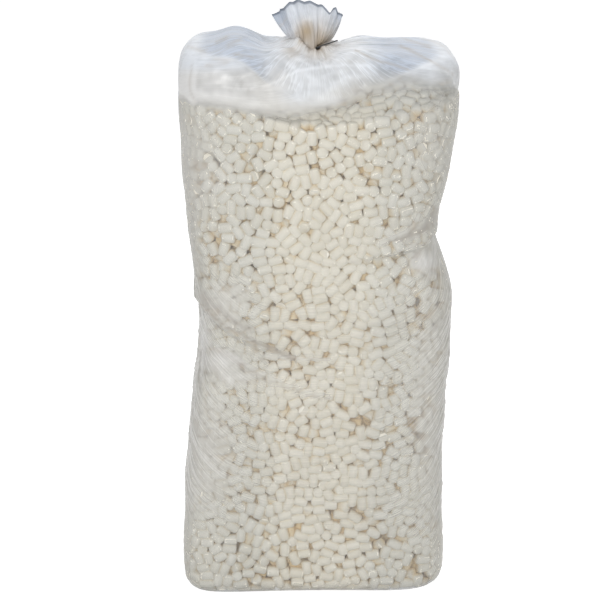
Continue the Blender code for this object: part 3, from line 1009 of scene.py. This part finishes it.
def ridges(a, b, seed, sharpness, wrap=None):
    """Thin crests where a random field passes its middle value."""
    return (1 - np.abs(2 * random_field(a, b, seed, wrap) - 1)) ** sharpness


# %% Dents between the peanuts
DENT_DEPTH = 0.0026
SPAN_SAG = 0.35
OVER_PEANUT = 0.0004
LOOK_OUT = 0.006
LOOK_IN = 0.016

near_trees = [face_tree(piece) for piece in (near_low, near_high, loose_all)]
plain_normals = sheet_normals(sheet)
found = np.full(sheet.shape[:2], -LOOK_IN)
for row in np.nonzero((zone > BASE) & (zone < NECK))[0]:
    for column in range(FILM_COLUMNS):
        inward = -Vector(plain_normals[row, column])
        start = Vector(sheet[row, column]) - inward * LOOK_OUT
        for tree in near_trees:
            hit = tree.ray_cast(start, inward, LOOK_OUT + LOOK_IN)
            if hit[3] is not None:
                found[row, column] = max(found[row, column], LOOK_OUT - hit[3])
around = found.copy()
for up_down in (-1, 0, 1):
    for sideways in (-1, 0, 1):
        around = np.maximum(around, np.roll(np.roll(found, up_down, 0), sideways, 1))
spanned = smoothed(np.clip(around, -DENT_DEPTH, None), 1.1, 1.1)
dents = np.clip(found, -DENT_DEPTH, None) + OVER_PEANUT
dents = np.maximum(spanned - DENT_DEPTH * SPAN_SAG, dents)
dents = smoothed(dents, 0.45, 0.45) + OVER_PEANUT / 2
print("dents from", round(dents.min() * 1000, 1), "to", round(dents.max() * 1000, 1), "mm")

# %% Tension wrinkles that hang between the sides
SMILE_HEIGHT = 0.19
SMILE_FROM = 0.03
SMILE_REACH = 0.30
SMILE_FLAT_FROM = 0.72
SMILE_FLAT_OVER = 0.22
SMILE_TURN_UP = 1.15
SMILE_WOBBLE = 0.030
WRINKLE_PITCH = 0.017
WRINKLE_RUN = 0.16
WRINKLE_DEPTH = 0.0022
SIDE_STRENGTH = 0.40
SIDE_CALM_FROM = 0.03
SIDE_CALM_OVER = 0.12
FRONT_STRENGTH = 0.22
FRONT_FROM = 0.31
FRONT_OVER = 0.22
# Each band: where it starts and over what height, where it ends and over what height.
LEFT_WRINKLES = (0.12, 0.12, 0.78, 0.20)
RIGHT_WRINKLES = (0.08, 0.10, 0.80, 0.25)

height = sheet[:, :, 2]
walk = np.broadcast_to(column_walk, height.shape)


def walk_from(turn):
    """How far round the bag each point is from a turn."""
    away = walk - np.interp(turn, fine, walked)
    return np.abs((away + girth / 2) % girth - girth / 2)


def height_band(start, start_over, end, end_over):
    """One between two heights, with soft ends."""
    return smooth_step((height - start) / start_over) * smooth_step((end - height) / end_over)


from_right, from_left = walk_from(0.0), walk_from(math.pi)
from_side = np.minimum(from_right, from_left)
flat_top = smooth_step((height - SMILE_FLAT_FROM) / SMILE_FLAT_OVER)
hang = SMILE_HEIGHT * (1 - SMILE_TURN_UP * flat_top)
smile = height - hang * (1 - smooth_step((from_side - SMILE_FROM) / SMILE_REACH))
smile += SMILE_WOBBLE * (random_field(height * 8, walk / girth * 16, 31, 16) - 0.5)
left_side = from_left < from_right
band = np.where(left_side, height_band(*LEFT_WRINKLES), height_band(*RIGHT_WRINKLES))
off_side = smooth_step((from_side - SIDE_CALM_FROM) / SIDE_CALM_OVER)
off_front = smooth_step((FRONT_FROM - from_side) / FRONT_OVER)
side_calm = SIDE_STRENGTH + (1 - SIDE_STRENGTH) * off_side
strength = (FRONT_STRENGTH + (1 - FRONT_STRENGTH) * off_front) * band * side_calm
coarse = ridges(smile / WRINKLE_PITCH, walk / WRINKLE_RUN, 3, 3.0)
finer = ridges(smile / WRINKLE_PITCH * 2.1, walk / WRINKLE_RUN * 1.7, 4, 3.0)
wrinkles = WRINKLE_DEPTH * strength * (coarse + 0.5 * finer)
print("wrinkles up to", round(wrinkles.max() * 1000, 1), "mm")

# %% Creases that run to the tie
CREASE_DEPTH = 0.0060
BROAD_CREASES = 26
FINE_CREASES = 58
LOOSE_FOLD_DEPTH = 0.006
LOOSE_FOLDS_FROM = 0.97
NECK_PLEATS = 0.0016
CROWN_FOLDS = 0.0075

past_neck = np.zeros(height.shape)
past_neck[zone == CROWN] = (np.arange(1, CROWN_ROWS + 1) / CROWN_ROWS)[:, None]
phase = walk / girth
bend = 0.05 * random_field(share_in * 3, phase * 9, 21, 9)
swell = np.sin(np.pi * np.clip(share_in, 0, 1)) ** 0.7


def towards_tie(count, along, seed):
    """A number of crests round the bag that all run in to the tie."""
    return ridges(along, (phase + bend) * count, seed, 2.0, count) - 0.45


radial = towards_tie(BROAD_CREASES, share_in * 1.6 + 5, 5)
radial_fine = towards_tie(FINE_CREASES, share_in * 2.5 + 9, 6)
creases = CREASE_DEPTH * swell * (0.65 * radial + 0.35 * radial_fine)
creases *= 0.35 + 0.65 * smooth_step((share_in - 0.25) / 0.4)
loose_folds = LOOSE_FOLD_DEPTH * (random_field(height * 30, phase * 24, 8, 24) - 0.5)
creases += loose_folds * smooth_step((height - LOOSE_FOLDS_FROM) / 0.05) * (1 - share_in)
angle = 2 * np.pi * phase
tight = 0.5 * np.cos(17 * angle + 3 * bend) + 0.3 * np.cos(29 * angle + 1.0)
tight += 0.3 * np.cos(43 * angle)
broad = 0.5 * np.cos(5 * angle + 2.1) + 0.4 * np.cos(9 * angle + 0.6)
broad += 0.25 * np.cos(16 * angle + 4.0)
pleats = NECK_PLEATS * share_in ** 4 * (1 - past_neck) * (1 + 2 * past_neck) * tight
pleats = np.where(zones >= SHOULDER, pleats + CROWN_FOLDS * past_neck * broad, 0.0)
print("creases up to", round(creases.max() * 1000, 1), "mm, pleats", round(pleats.max() * 1000, 1))

# %% Puffs round the tie
# Each puff: its turn in degrees, its place on the way in to the tie, its height and its width in
# degrees.
PUFFS = (
    (-138, 0.86, 0.024, 26),
    (-95, 0.90, 0.011, 15),
    (-67, 0.90, 0.012, 16),
    (-44, 0.89, 0.011, 16),
    (-12, 0.86, 0.008, 18),
    (55, 0.88, 0.016, 24),
    (120, 0.87, 0.018, 26),
    (180, 0.79, 0.013, 20),
    (176, 0.88, 0.014, 26),
)
PUFF_WIDTH = 0.065

lift = np.zeros(height.shape)
for middle, place_in, tall, spread in PUFFS:
    lift += tall * bell(share_in - place_in, PUFF_WIDTH) * bell(degrees_from(middle), spread)
lift *= zones == SHOULDER
print("tallest puff", round(lift.max() * 1000, 1), "mm")

# %% [markdown]
# ### The creases of this one bag
#
# Random wrinkles give the film its kind of surface, but the folds that catch the eye are this
# bag's own. They are read off the photograph as short lines in pixels. Each point of the sheet
# knows which pixel it is seen at, so it also knows how near it is to each line. Light lines become
# small ridges and are also painted paler, a painted highlight, and dark ones are painted shade in
# a fold.

# %% Where each point of the sheet is seen
GRAZING = 0.12


def seen_at(points):
    """The pixel of the photograph that each point falls on."""
    off = points - np.array(eye)
    ahead = off @ np.array(forward)
    x = IMAGE_PIXELS / 2 + FOCAL_PIXELS * (off @ np.array(right)) / ahead
    y = IMAGE_PIXELS / 2 - FOCAL_PIXELS * (off @ np.array(up)) / ahead
    return x, y


def beside(pixels, x, y):
    """How many pixels each point is from a line through some pixels."""
    nearest = np.full(x.shape, 1e9)
    for (x0, y0), (x1, y1) in zip(pixels[:-1], pixels[1:]):
        run, rise = x1 - x0, y1 - y0
        along = np.clip(((x - x0) * run + (y - y0) * rise) / (run ** 2 + rise ** 2), 0, 1)
        nearest = np.minimum(nearest, np.hypot(x - x0 - along * run, y - y0 - along * rise))
    return nearest


lifted = sheet + np.stack([np.zeros_like(lift), np.zeros_like(lift), lift], 2)
seen_x, seen_y = seen_at(lifted)
sight = lifted - np.array(eye)
sight /= np.linalg.norm(sight, axis=2, keepdims=True)
facing_us = smooth_step(-(plain_normals * sight).sum(2) / GRAZING)
print("points that face the camera:", int((facing_us > 0).sum()))

# %% The creases, as lines of pixels
# Each crease: its line of pixels, its width in pixels and its strength.
# The dark creases are painted shade: in the folds, under the overhanging film and in the gathers at
# the tie.
PAINTED_SHADE_CREASES = (
    (
        ((200, 303), (207, 311), (216, 319), (227, 328), (242, 335))
        + ((255, 342), (267, 347), (280, 353), (292, 358)),
        1.8,
        1.0,
    ),
    (((203, 296), (211, 305), (222, 314), (234, 322), (250, 330)), 5.0, 0.60),
    (((248, 337), (257, 353), (267, 366)), 1.8, 0.45),
    (
        ((216, 350), (229, 357), (242, 366), (257, 376))
        + ((274, 383), (290, 390), (309, 396), (330, 400)),
        1.5,
        0.40,
    ),
    (((234, 286), (246, 293)), 1.8, 0.30),
    (((198, 339), (204, 352)), 1.5, 0.5),
    (((196, 369), (201, 385)), 1.5, 0.5),
    (((437, 220), (425, 230), (412, 236), (398, 240)), 1.8, 1.0),
    (((438, 212), (429, 222), (419, 231), (408, 237)), 4.4, 0.72),
    (((397, 243), (416, 246)), 4.0, 0.25),
    (((426, 281), (435, 273)), 1.5, 0.45),
    (((427, 297), (440, 282)), 1.5, 0.45),
    (((428, 318), (437, 306)), 1.5, 0.45),
    (((433, 329), (445, 313)), 1.5, 0.45),
    (((355, 49), (369, 56), (380, 60), (387, 61), (407, 67)), 1.4, 0.65),
    (((400, 45), (415, 51), (430, 58), (446, 67), (454, 74)), 1.6, 0.60),
    (((398, 34), (409, 40), (430, 47)), 1.6, 0.50),
    (((422, 36), (445, 46), (457, 58)), 2.2, 0.45),
    (((338, 61), (364, 60)), 1.5, 0.25),
    (((214, 58), (231, 59)), 1.6, 0.55),
    (((206, 65), (226, 63)), 2.0, 0.55),
    (((235, 53), (252, 56)), 1.5, 0.50),
    (((216, 42), (227, 37)), 1.8, 0.50),
    (((227, 44), (241, 38)), 1.8, 0.50),
    (((186, 46), (205, 50)), 1.8, 0.50),
    (((190, 61), (190, 92), (195, 103)), 1.4, 0.35),
    (((311, 43), (306, 40), (300, 37), (296, 34)), 1.3, 0.55),
    (((312, 42), (310, 34), (307, 24)), 1.6, 0.55),
    (((314, 41), (314, 33), (311, 25)), 1.2, 0.45),
    (((317, 39), (320, 32), (319, 25)), 1.4, 0.30),
    (((318, 46), (323, 50), (325, 57)), 1.1, 0.50),
    (((308, 50), (312, 46)), 1.2, 0.45),
    (((291, 57), (297, 54), (301, 49)), 1.4, 0.40),
    (((276, 27), (279, 20), (286, 16)), 2.0, 0.50),
    (((271, 14), (275, 22), (279, 30)), 1.2, 0.30),
    (((336, 10), (339, 16), (337, 24)), 1.4, 0.35),
    (((330, 14), (334, 20), (331, 29)), 1.2, 0.25),
)
# The light creases are small ridges of the film, and are also painted paler as painted highlights.
RIDGE_AND_HIGHLIGHT_CREASES = (
    (
        ((217, 346), (230, 354), (243, 362), (258, 372))
        + ((274, 379), (290, 386), (309, 392), (330, 396)),
        1.6,
        0.45,
    ),
    (((264, 356), (294, 358), (330, 360)), 1.6, 0.45),
    (((380, 243), (393, 238), (405, 233), (415, 224), (419, 215)), 2.0, 0.60),
    (
        ((201, 73), (215, 80), (227, 88), (262, 87))
        + ((277, 81), (298, 70), (330, 65), (370, 64)),
        1.6,
        0.30,
    ),
    (((209, 67), (227, 80), (236, 79), (254, 72), (267, 73)), 1.6, 0.30),
    (((186, 60), (185, 92), (192, 104)), 3.2, 0.45),
)
CREASE_RELIEF = 0.0016

# Each patch: its pixel, its reach across and up in pixels, and its strength.
SMOOTH_PATCHES = (
    (222, 362, 20, 12, 0.55),
    (424, 262, 13, 11, 0.60),
    (205, 330, 9, 22, 0.35),
    (234, 377, 24, 8, 0.35),
    (226, 300, 26, 16, 0.25),
    (190, 78, 6, 22, 0.55),
    (196, 165, 24, 60, 0.26),
    (202, 450, 28, 60, 0.26),
    (430, 400, 20, 80, 0.20),
    (432, 140, 22, 40, 0.16),
)

marks = {}
# The dark marks carry painted shade, and the light marks carry painted highlights.
for name, lines in (("dark", PAINTED_SHADE_CREASES), ("light", RIDGE_AND_HIGHLIGHT_CREASES)):
    marks[name] = np.zeros(height.shape)
    for pixels, spread, amount in lines:
        line = amount * bell(beside(pixels, seen_x, seen_y), spread)
        marks[name] = np.maximum(marks[name], line)
    marks[name] *= facing_us
line_relief = CREASE_RELIEF * marks["light"]
patches = np.zeros(height.shape)
for x, y, wide, tall, amount in SMOOTH_PATCHES:
    patches = np.maximum(patches, amount * bell(seen_x - x, wide) * bell(seen_y - y, tall))
patches *= facing_us
print(len(PAINTED_SHADE_CREASES), "dark creases and", len(RIDGE_AND_HIGHLIGHT_CREASES), "light ones")

# %% The finished sheet
MOUTH_PIXELS = (
    (271, 15), (277, 12), (285, 8), (289, 3), (298, 1), (304, 4),
    (310, 3), (318, 7), (323, 6), (330, 13), (336, 8), (340, 15),
)
MOUTH_TEETH = 0.0025
FRONT_LIP = 0.003
FOOT_FROM = 0.004
FOOT_OVER = 0.03

relief = dents + wrinkles + creases + pleats + line_relief
relief = np.where(found > -LOOK_IN, np.maximum(relief, found + OVER_PEANUT), relief)
relief[zone == BASE] = 0
foot = smooth_step((height - FOOT_FROM) / FOOT_OVER)
relief = np.where(zones <= SIDE, relief * foot, relief)
film_points = sheet + sheet_normals(sheet) * relief[:, :, None]


def on_line(pairs, values):
    """The second number of a line of pairs, where the first has these values."""
    return np.interp(values, *zip(*pairs))


mouth_x, mouth_y = seen_at(film_points[-1])
rise = mouth_y - on_line(MOUTH_PIXELS, mouth_x)
rise = blurred(rise[None, :], 1.0, 1, True) * CAMERA_DISTANCE / FOCAL_PIXELS
teeth = random_field(np.zeros_like(phase), phase * 47, 13, 47) - 0.5
mouth = past_neck * (rise + MOUTH_TEETH * 2 * teeth - FRONT_LIP * sines[None, :])
film_points[:, :, 2] += mouth + lift
film_points[:, :, 2] = np.maximum(film_points[:, :, 2], 0.0)


def sheet_mesh(name, grid):
    """The sheet as a mesh: closed at the base, open at the mouth."""
    count, columns = grid.shape[:2]
    points = grid.reshape(-1, 3).tolist() + [[0.0, 0.0, 0.0]]
    base = [(len(points) - 1, (column + 1) % columns, column) for column in range(columns)]
    return mesh_object(name, points, faces_between(count, columns) + base)


film = sheet_mesh("film", film_points)
print("film:", len(film.data.polygons), "faces")

# %% [markdown]
# ### Where the film changes
#
# The film is the same all over, but it doesn't look so. Where it lies on the peanuts it is
# clear, where it hangs slack over the heap it is milky, and where it is gathered at the tie it
# is browner and darker. A texture would have to be unwrapped and painted for that. The sheet
# already knows where each point is and at which pixel it is seen, so it keeps these values
# itself, point by point, and the finish reads them.

# %% Where the film is hazy
# The lower edge of the haze, first as pixels of the photograph, then across and up in metres for
# the sides that the camera doesn't see.
HAZE_PIXELS = (
    (178, 97), (195, 102), (215, 106), (240, 108), (262, 111),
    (300, 110), (340, 100), (380, 91), (420, 87), (460, 84),
)
HAZE_EDGE = (
    (-0.27, 0.935), (-0.20, 0.92), (-0.05, 0.93), (0.08, 0.955), (0.18, 0.98), (0.27, 1.0),
)
HAZE_EDGE_OVER = 0.05
HAZE_IN = 0.35
HAZE_BELOW = 8
HAZE_FADE = 26
RIGHT_FROM = 320
RIGHT_OVER = 60
RIGHT_BELOW = 5
RIGHT_FADE = 16
RAGGED = 0.02
RAGGED_PIXELS = 600
CREAM_FROM_ROW = 62
CREAM_OVER_ROWS = 16
CREAM_TO_COLUMN = 300
CREAM_OVER_COLUMNS = 40

haze_height = on_line(HAZE_EDGE, sheet[:, :, 0])
ragged = RAGGED * (random_field(height * 60, phase * 40, 14, 40) - 0.5)
haze = smooth_step((height + ragged - haze_height) / HAZE_EDGE_OVER)
edge_row = on_line(HAZE_PIXELS, seen_x)
right_side = smooth_step((seen_x - RIGHT_FROM) / RIGHT_OVER)
over_edge = edge_row + HAZE_BELOW + RIGHT_BELOW * right_side - seen_y + RAGGED_PIXELS * ragged
seen_haze = smooth_step(over_edge / (HAZE_FADE + RIGHT_FADE * right_side))
haze += (seen_haze - haze) * facing_us
haze = np.maximum(haze, smooth_step(share_in / HAZE_IN))
haze[zone > SHOULDER] = 1.0
cream = smooth_step((seen_y - CREAM_FROM_ROW) / CREAM_OVER_ROWS)
cream = cream * smooth_step((CREAM_TO_COLUMN - seen_x) / CREAM_OVER_COLUMNS) * facing_us
print("hazy over", round(100 * (haze > 0.5).mean()), "percent of the points")

# %% Where it is brown
BROWN_REACH = 0.044
# Each patch: its pixel, its spread in pixels and its strength.
BROWN_PATCHES = ((306, 34, 12, 0.95), (292, 49, 9, 0.44), (326, 52, 8, 0.34), (311, 52, 7, 0.36))

neck_middle = (NECK_SHIFT, 0, NECK_HEIGHT + 1.5 * NECK_LENGTH)
neck_distance = np.linalg.norm(film_points - np.array(neck_middle), axis=2)
brown = bell(neck_distance, BROWN_REACH)
for x, y, spread, amount in BROWN_PATCHES:
    patch = amount * bell(np.hypot(seen_x - x, seen_y - y), spread)
    brown = np.maximum(brown, patch * facing_us)
print("brown over", round(100 * (brown > 0.5).mean(), 1), "percent of the points")

# %% Where it is slack, and how its top is shaded
MOUTH_LINE_FROM = 0.90
MOUTH_LINE_OVER = 0.07
NEAR_TIE = 0.72
NEAR_TIE_OVER = 0.15
MIDDLE_SLACK = 0.2
CROWN_LESS_SLACK = 0.85
SHADE_FROM = 0.06
SHADE_OVER = 0.08
CROWN_SHADE = 0.38
TIP_SHADE = 0.55
TIPS_FROM = 0.55
TIPS_OVER = 0.35
EDGE_BAND = 0.36
EDGE_BAND_OFF = 4
EDGE_BAND_ROWS = 9

mouth_line = smooth_step((past_neck - MOUTH_LINE_FROM) / MOUTH_LINE_OVER)
aside = np.abs(cosines)[None, :] ** 1.5
near_tie = smooth_step((share_in - NEAR_TIE) / NEAR_TIE_OVER)
slack = MIDDLE_SLACK + (1 - MIDDLE_SLACK) * np.maximum(aside, near_tie)
slack = smooth_step((share_in + 0.02) / 0.1) * slack
slack[zone < SHOULDER] = 0.0
slack[zone >= NECK] = 1.0
slack *= 1 - CROWN_LESS_SLACK * past_neck ** 0.6

off_middle = smooth_step((np.abs(sheet[:, :, 0]) - SHADE_FROM) / SHADE_OVER)
top_shade = off_middle * smooth_step((share_in + 0.05) / 0.15)
tips = smooth_step((np.abs(cosines) - TIPS_FROM) / TIPS_OVER)[None, :]
top_shade = np.where(zones >= NECK, CROWN_SHADE + TIP_SHADE * past_neck * tips, top_shade)

edge_band = EDGE_BAND * (1 - 0.7 * right_side)
edge_band = edge_band * bell(edge_row - EDGE_BAND_OFF - seen_y, EDGE_BAND_ROWS) * facing_us
patches = np.maximum(patches, edge_band * (zones < NECK))
taut = np.maximum(strength * (1 - 0.6 * haze), 0.15 * haze * (zones < SHOULDER))

# %% The film keeps these values
film_values = {
    "haze": haze,
    "brown": brown,
    "mouth_line": mouth_line,
    "taut": taut,
    "slack": slack,
    "dark": marks["dark"],
    "light": marks["light"],
    "cream": cream,
    "patch": patches,
    "top_shade": top_shade,
}
for name, values in film_values.items():
    mark(film, name, np.append(values.ravel(), 0.0))
    print(name, "is", round(values.mean(), 3), "on average")

# %% Which way the fine lines of the film run
LINES_ACROSS = 140.0
LINES_ALONG = 7.0
RAYS_ACROSS = 34.0
RAYS_ALONG = 2.5


def flow(name, *parts):
    """Keeps three stretched coordinates at each point of the film, for its fine lines."""
    values = [np.append(np.broadcast_to(part, height.shape).ravel(), 0.0) for part in parts]
    attribute = film.data.attributes.new(name, "FLOAT_VECTOR", "POINT")
    attribute.data.foreach_set("vector", np.stack(values, 1).astype(np.float32).ravel())


across, deep_in = sheet[:, :, 0] * LINES_ALONG, sheet[:, :, 1] * LINES_ALONG
flow("smile_flow", smile * LINES_ACROSS, across, deep_in)
rays = np.where(share_in > 0, share_in, 0.0) + past_neck
flow("ray_flow", cosines * RAYS_ACROSS, sines * RAYS_ACROSS, rays * RAYS_ALONG)
print("fine lines every", round(1000 / LINES_ACROSS, 1), "mm or so")

# %% [markdown]
# ### The film's finish
#
# Real film of this kind is clear, glossy and full of fine lines that catch the light. Real
# refraction through so thin a sheet would only add noise. So a veil says how much of the light
# the film stops: little where it is clear, more where it is hazy, creased, brown or seen at a
# slant. The pale lines are painted highlights and the dark lines painted shade. What passes goes
# on in a straight line, and a thin gloss lies over the whole.

# %% The film's colours and veils
CLEAR_VEIL = 0.14
HAZY_VEIL = 0.64
FACING_VEIL = 0.30
BROWN_VEIL = 0.70
LINE_VEIL = 0.50
EDGE_VEIL = 0.80
MOST_VEIL = 0.97
CRINKLE_SCALE = 60.0
CLOUD_SCALE = 38.0
TAUT_SHARPNESS = 14.0
FILM_GLOSS = 0.27
FILM_CLEAR = (0.83, 0.82, 0.79)
FILM_HAZY = (0.90, 0.93, 0.97)
FILM_CREAM = (0.93, 0.905, 0.86)
FILM_TOP = (0.54, 0.60, 0.70)
CLEAR_TINT = (0.97, 0.97, 0.96)
HAZY_TINT = (0.95, 0.96, 0.97)
TOP_TINT = (0.70, 0.75, 0.82)
FILM_SHADE = (0.34, 0.30, 0.25)
FILM_BROWN = (0.42, 0.32, 0.20)
FILM_BROWN_SHADE = (0.30, 0.22, 0.13)
FILM_EDGE = (0.13, 0.155, 0.20)


# %% The film's finish
# The values that the taut and the slack noise pass on a line, and how thin a slack line is:
# first for the painted highlight lines, then for the painted shade lines.
PAINTED_HIGHLIGHT_LINES = (0.56, 0.57, 14.0)
PAINTED_SHADE_LINES = (0.44, 0.45, 16.0)


def film_finish():
    """Clear film: see-through, milky where slack or doubled, painted highlight and shade lines
    where taut.
    """
    made, nodes = new_material("clear film")
    maths, mixed, value = nodes.maths, nodes.mixed, nodes.value
    taut_field = nodes.noise(value("smile_flow", "Vector"), 1.0, 2.0)
    ray_field = nodes.noise(value("ray_flow", "Vector"), 1.0, 3.0, 0.3)
    crinkle = nodes.noise(nodes.place(), CRINKLE_SCALE, 4.0, 0.8)
    cloud = nodes.noise(nodes.place(), CLOUD_SCALE, 1.0)
    taut, slack = value("taut"), value("slack")
    hazy, brown = value("haze"), value("brown")

    def crest(field, middle, sharpness):
        """Thin lines where a noise passes a value."""
        off = maths("ABSOLUTE", maths("SUBTRACT", field, middle))
        return maths("MAXIMUM", maths("MULTIPLY_ADD", off, -sharpness, 1.0), 0.0)

    def lines(taut_middle, ray_middle, ray_sharpness):
        """Fine lines, of one kind where the film is taut and of another where it is slack."""
        in_taut = maths("MULTIPLY", crest(taut_field, taut_middle, TAUT_SHARPNESS), taut)
        in_slack = maths("MULTIPLY", crest(ray_field, ray_middle, ray_sharpness), slack)
        return maths("ADD", in_taut, in_slack)

    # Pale lines are painted highlights, and dark lines are painted shade.
    painted_highlight_lines = maths("ADD", lines(*PAINTED_HIGHLIGHT_LINES), value("light"))
    painted_shade_lines = maths("MULTIPLY_ADD", lines(*PAINTED_SHADE_LINES), 0.6, value("dark"))

    relief = maths("MULTIPLY", taut_field, maths("MULTIPLY_ADD", taut, 1.2, 0.15))
    relief = maths("MULTIPLY_ADD", ray_field, maths("MULTIPLY", slack, 1.4), relief)
    relief = maths("MULTIPLY_ADD", crinkle, 0.20, relief)
    normal = nodes.bump(relief, 0.8, 0.0016)

    facing = nodes.add("ShaderNodeLayerWeight", {"Blend": 0.35}).outputs["Facing"]
    cloudy = maths("MULTIPLY", hazy, maths("ADD", cloud, 0.50))
    veil = maths("MULTIPLY_ADD", cloudy, HAZY_VEIL - CLEAR_VEIL, CLEAR_VEIL)
    veil = maths("MULTIPLY_ADD", facing, FACING_VEIL, veil)
    veil = maths("MULTIPLY_ADD", brown, BROWN_VEIL, veil)
    veil = maths("MULTIPLY_ADD", maths("ADD", painted_highlight_lines, painted_shade_lines), LINE_VEIL, veil)
    veil = maths("MULTIPLY_ADD", value("mouth_line"), EDGE_VEIL, veil)
    veil = maths("MINIMUM", maths("ADD", value("patch"), veil), MOST_VEIL)

    colour = mixed(value("cream"), FILM_HAZY, FILM_CREAM)
    colour = mixed(value("top_shade"), colour, FILM_TOP)
    colour = mixed(hazy, FILM_CLEAR, colour)
    colour = mixed(brown, colour, FILM_BROWN)
    # Painted shade: the dark lines take the colour towards a grey shade, or a brown one near the
    # tie.
    shade = mixed(brown, FILM_SHADE, FILM_BROWN_SHADE)
    colour = mixed(maths("MULTIPLY", painted_shade_lines, 0.75), colour, shade)
    colour = mixed(value("mouth_line"), colour, FILM_EDGE)
    through = mixed(value("top_shade"), mixed(hazy, CLEAR_TINT, HAZY_TINT), TOP_TINT)

    body = nodes.add(
        "ShaderNodeBsdfPrincipled", {"Base Color": colour, "Roughness": 0.45, "Normal": normal}
    )
    clear = nodes.add("ShaderNodeBsdfTransparent", {"Color": through})
    milky = nodes.add(
        "ShaderNodeMixShader", {"Fac": veil, 1: clear.outputs["BSDF"], 2: body.outputs["BSDF"]}
    )
    gloss = nodes.add("ShaderNodeBsdfGlossy", {"Roughness": 0.36, "Normal": normal})
    slant = nodes.add("ShaderNodeFresnel", {"IOR": 1.45, "Normal": normal}).outputs["Fac"]
    whole = nodes.add("ShaderNodeMixShader", {
        "Fac": maths("MULTIPLY", slant, FILM_GLOSS),
        1: milky.outputs["Shader"],
        2: gloss.outputs["BSDF"],
    })
    nodes.surface(whole.outputs["Shader"])
    print("the film's finish has", len(nodes.tree.nodes), "nodes")
    return made


film.data.materials.append(film_finish())

# %% [markdown]
# ## The tie
#
# The cable tie is small and hard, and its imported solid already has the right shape: a loop, a
# head and a straight tail. So it keeps its mesh and only gets the finish of black nylon.

# %% Black nylon
NYLON_DARK = (0.012, 0.012, 0.013)
NYLON_LIGHT = (0.030, 0.030, 0.032)
GRAIN_SCALE = 1200.0


def nylon():
    """Black nylon: dark, a little glossy, with a faint moulded grain."""
    made, nodes = new_material("black nylon")
    grain = nodes.noise(nodes.place(), GRAIN_SCALE, 2.0)
    shader = nodes.add("ShaderNodeBsdfPrincipled", {
        "Base Color": nodes.mixed(grain, NYLON_DARK, NYLON_LIGHT),
        "Roughness": 0.42,
        "Normal": nodes.bump(grain, 0.3, 0.0001),
    })
    nodes.surface(shader.outputs["BSDF"])
    return made


tie_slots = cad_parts["cable_tie"].material_slots
tie_slots[0].material = nylon()
print("the tie has", len(tie_slots), "finish")

# %% [markdown]
# ## Floor, backdrop and light
#
# The photograph has a pure white ground. A white floor that is lit to pure white would need so
# much light that the pale bag would burn out. So the floor adds a glow that only the camera,
# mirrors and clear things see, and the lamps stay at a plain level. The bag's shadow still falls
# on the floor.

# %% The floor
FLOOR_GLOW = 0.86
FLOOR_COLOUR = (0.62, 0.62, 0.62)
FLOOR_SIZE = 60.0
FLOOR_LEVEL = -0.0005


def seen_rays(nodes):
    """One for rays that the camera, mirrors and clear things see by, nothing for light itself."""
    path = nodes.add("ShaderNodeLightPath").outputs
    seen = nodes.maths("MAXIMUM", path["Is Camera Ray"], path["Is Glossy Ray"])
    return nodes.maths("MAXIMUM", seen, path["Is Transmission Ray"])


def floor_finish():
    """Matt, with a glow that only shows to whatever looks at it."""
    made, nodes = new_material("floor")
    matt = nodes.add("ShaderNodeBsdfDiffuse", {"Color": (*FLOOR_COLOUR, 1)})
    glow = nodes.add("ShaderNodeEmission", {
        "Color": (1, 1, 1, 1),
        "Strength": nodes.maths("MULTIPLY", seen_rays(nodes), FLOOR_GLOW),
    })
    both = nodes.add("ShaderNodeAddShader", {0: matt.outputs["BSDF"], 1: glow.outputs["Emission"]})
    nodes.surface(both.outputs["Shader"])
    return made


half_floor = FLOOR_SIZE / 2
floor_corners = [
    (-half_floor, -half_floor, FLOOR_LEVEL),
    (half_floor, -half_floor, FLOOR_LEVEL),
    (half_floor, half_floor, FLOOR_LEVEL),
    (-half_floor, half_floor, FLOOR_LEVEL),
]
floor = mesh_object("floor", floor_corners, [(0, 1, 2, 3)])
floor.data.materials.append(floor_finish())
print("floor:", FLOOR_SIZE, "m wide")

# %% The sky and the lamps
SKY_LIGHT = 0.30
KEY_WATTS = 60
FILL_WATTS = 33
TOP_WATTS = 24
BACK_WATTS = 60

world = bpy.data.worlds.new("soft white")
world.use_nodes = True
sky = world.node_tree.nodes["Background"]
sky.inputs["Color"].default_value = (1.0, 1.0, 1.0, 1)
sky_nodes = Nodes(world.node_tree)
brightness = sky_nodes.maths("MULTIPLY_ADD", seen_rays(sky_nodes), 1 - SKY_LIGHT, SKY_LIGHT)
world.node_tree.links.new(brightness, sky.inputs["Strength"])
bpy.context.scene.world = world


def soft_lamp(name, place, aim, size, power, mirrored=True):
    """A square lamp turned to a point, which mirrors may or may not show."""
    light = bpy.data.lights.new(name, "AREA")
    light.shape = "SQUARE"
    light.size = size
    light.energy = power
    lamp = in_scene(name, light)
    lamp.location = place
    lamp.rotation_euler = (Vector(aim) - Vector(place)).to_track_quat("-Z", "Y").to_euler()
    lamp.visible_glossy = mirrored
    print(name, "lamp:", power, "W, a square of", size, "m")


soft_lamp("key", (-1.3, -3.2, 1.7), (0, 0, 0.35), 1.6, KEY_WATTS)
soft_lamp("fill", (2.6, -2.6, 1.1), (0, 0, 0.4), 2.2, FILL_WATTS)
soft_lamp("top", (0.0, 0.0, 3.6), (0, 0, 1.0), 1.8, TOP_WATTS, mirrored=False)
soft_lamp("back", (0.6, 3.0, 2.6), (0, 0, 0.6), 2.2, BACK_WATTS, mirrored=False)
bpy.context.scene.view_settings.view_transform = "Standard"

# %% [markdown]
# ## Joining the pieces to the model
#
# Each piece rides on the model's one body, and the solids of the model that it stands for are
# hidden.

# %% Riding and replacing
for piece in (film, near_low, near_high, far_all, loose_all, core):
    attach(piece, "root")
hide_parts("bag_film")
for piece in (near_low, near_high, far_all, core):
    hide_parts("peanut_fill")
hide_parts(*LOOSE_NAMES)
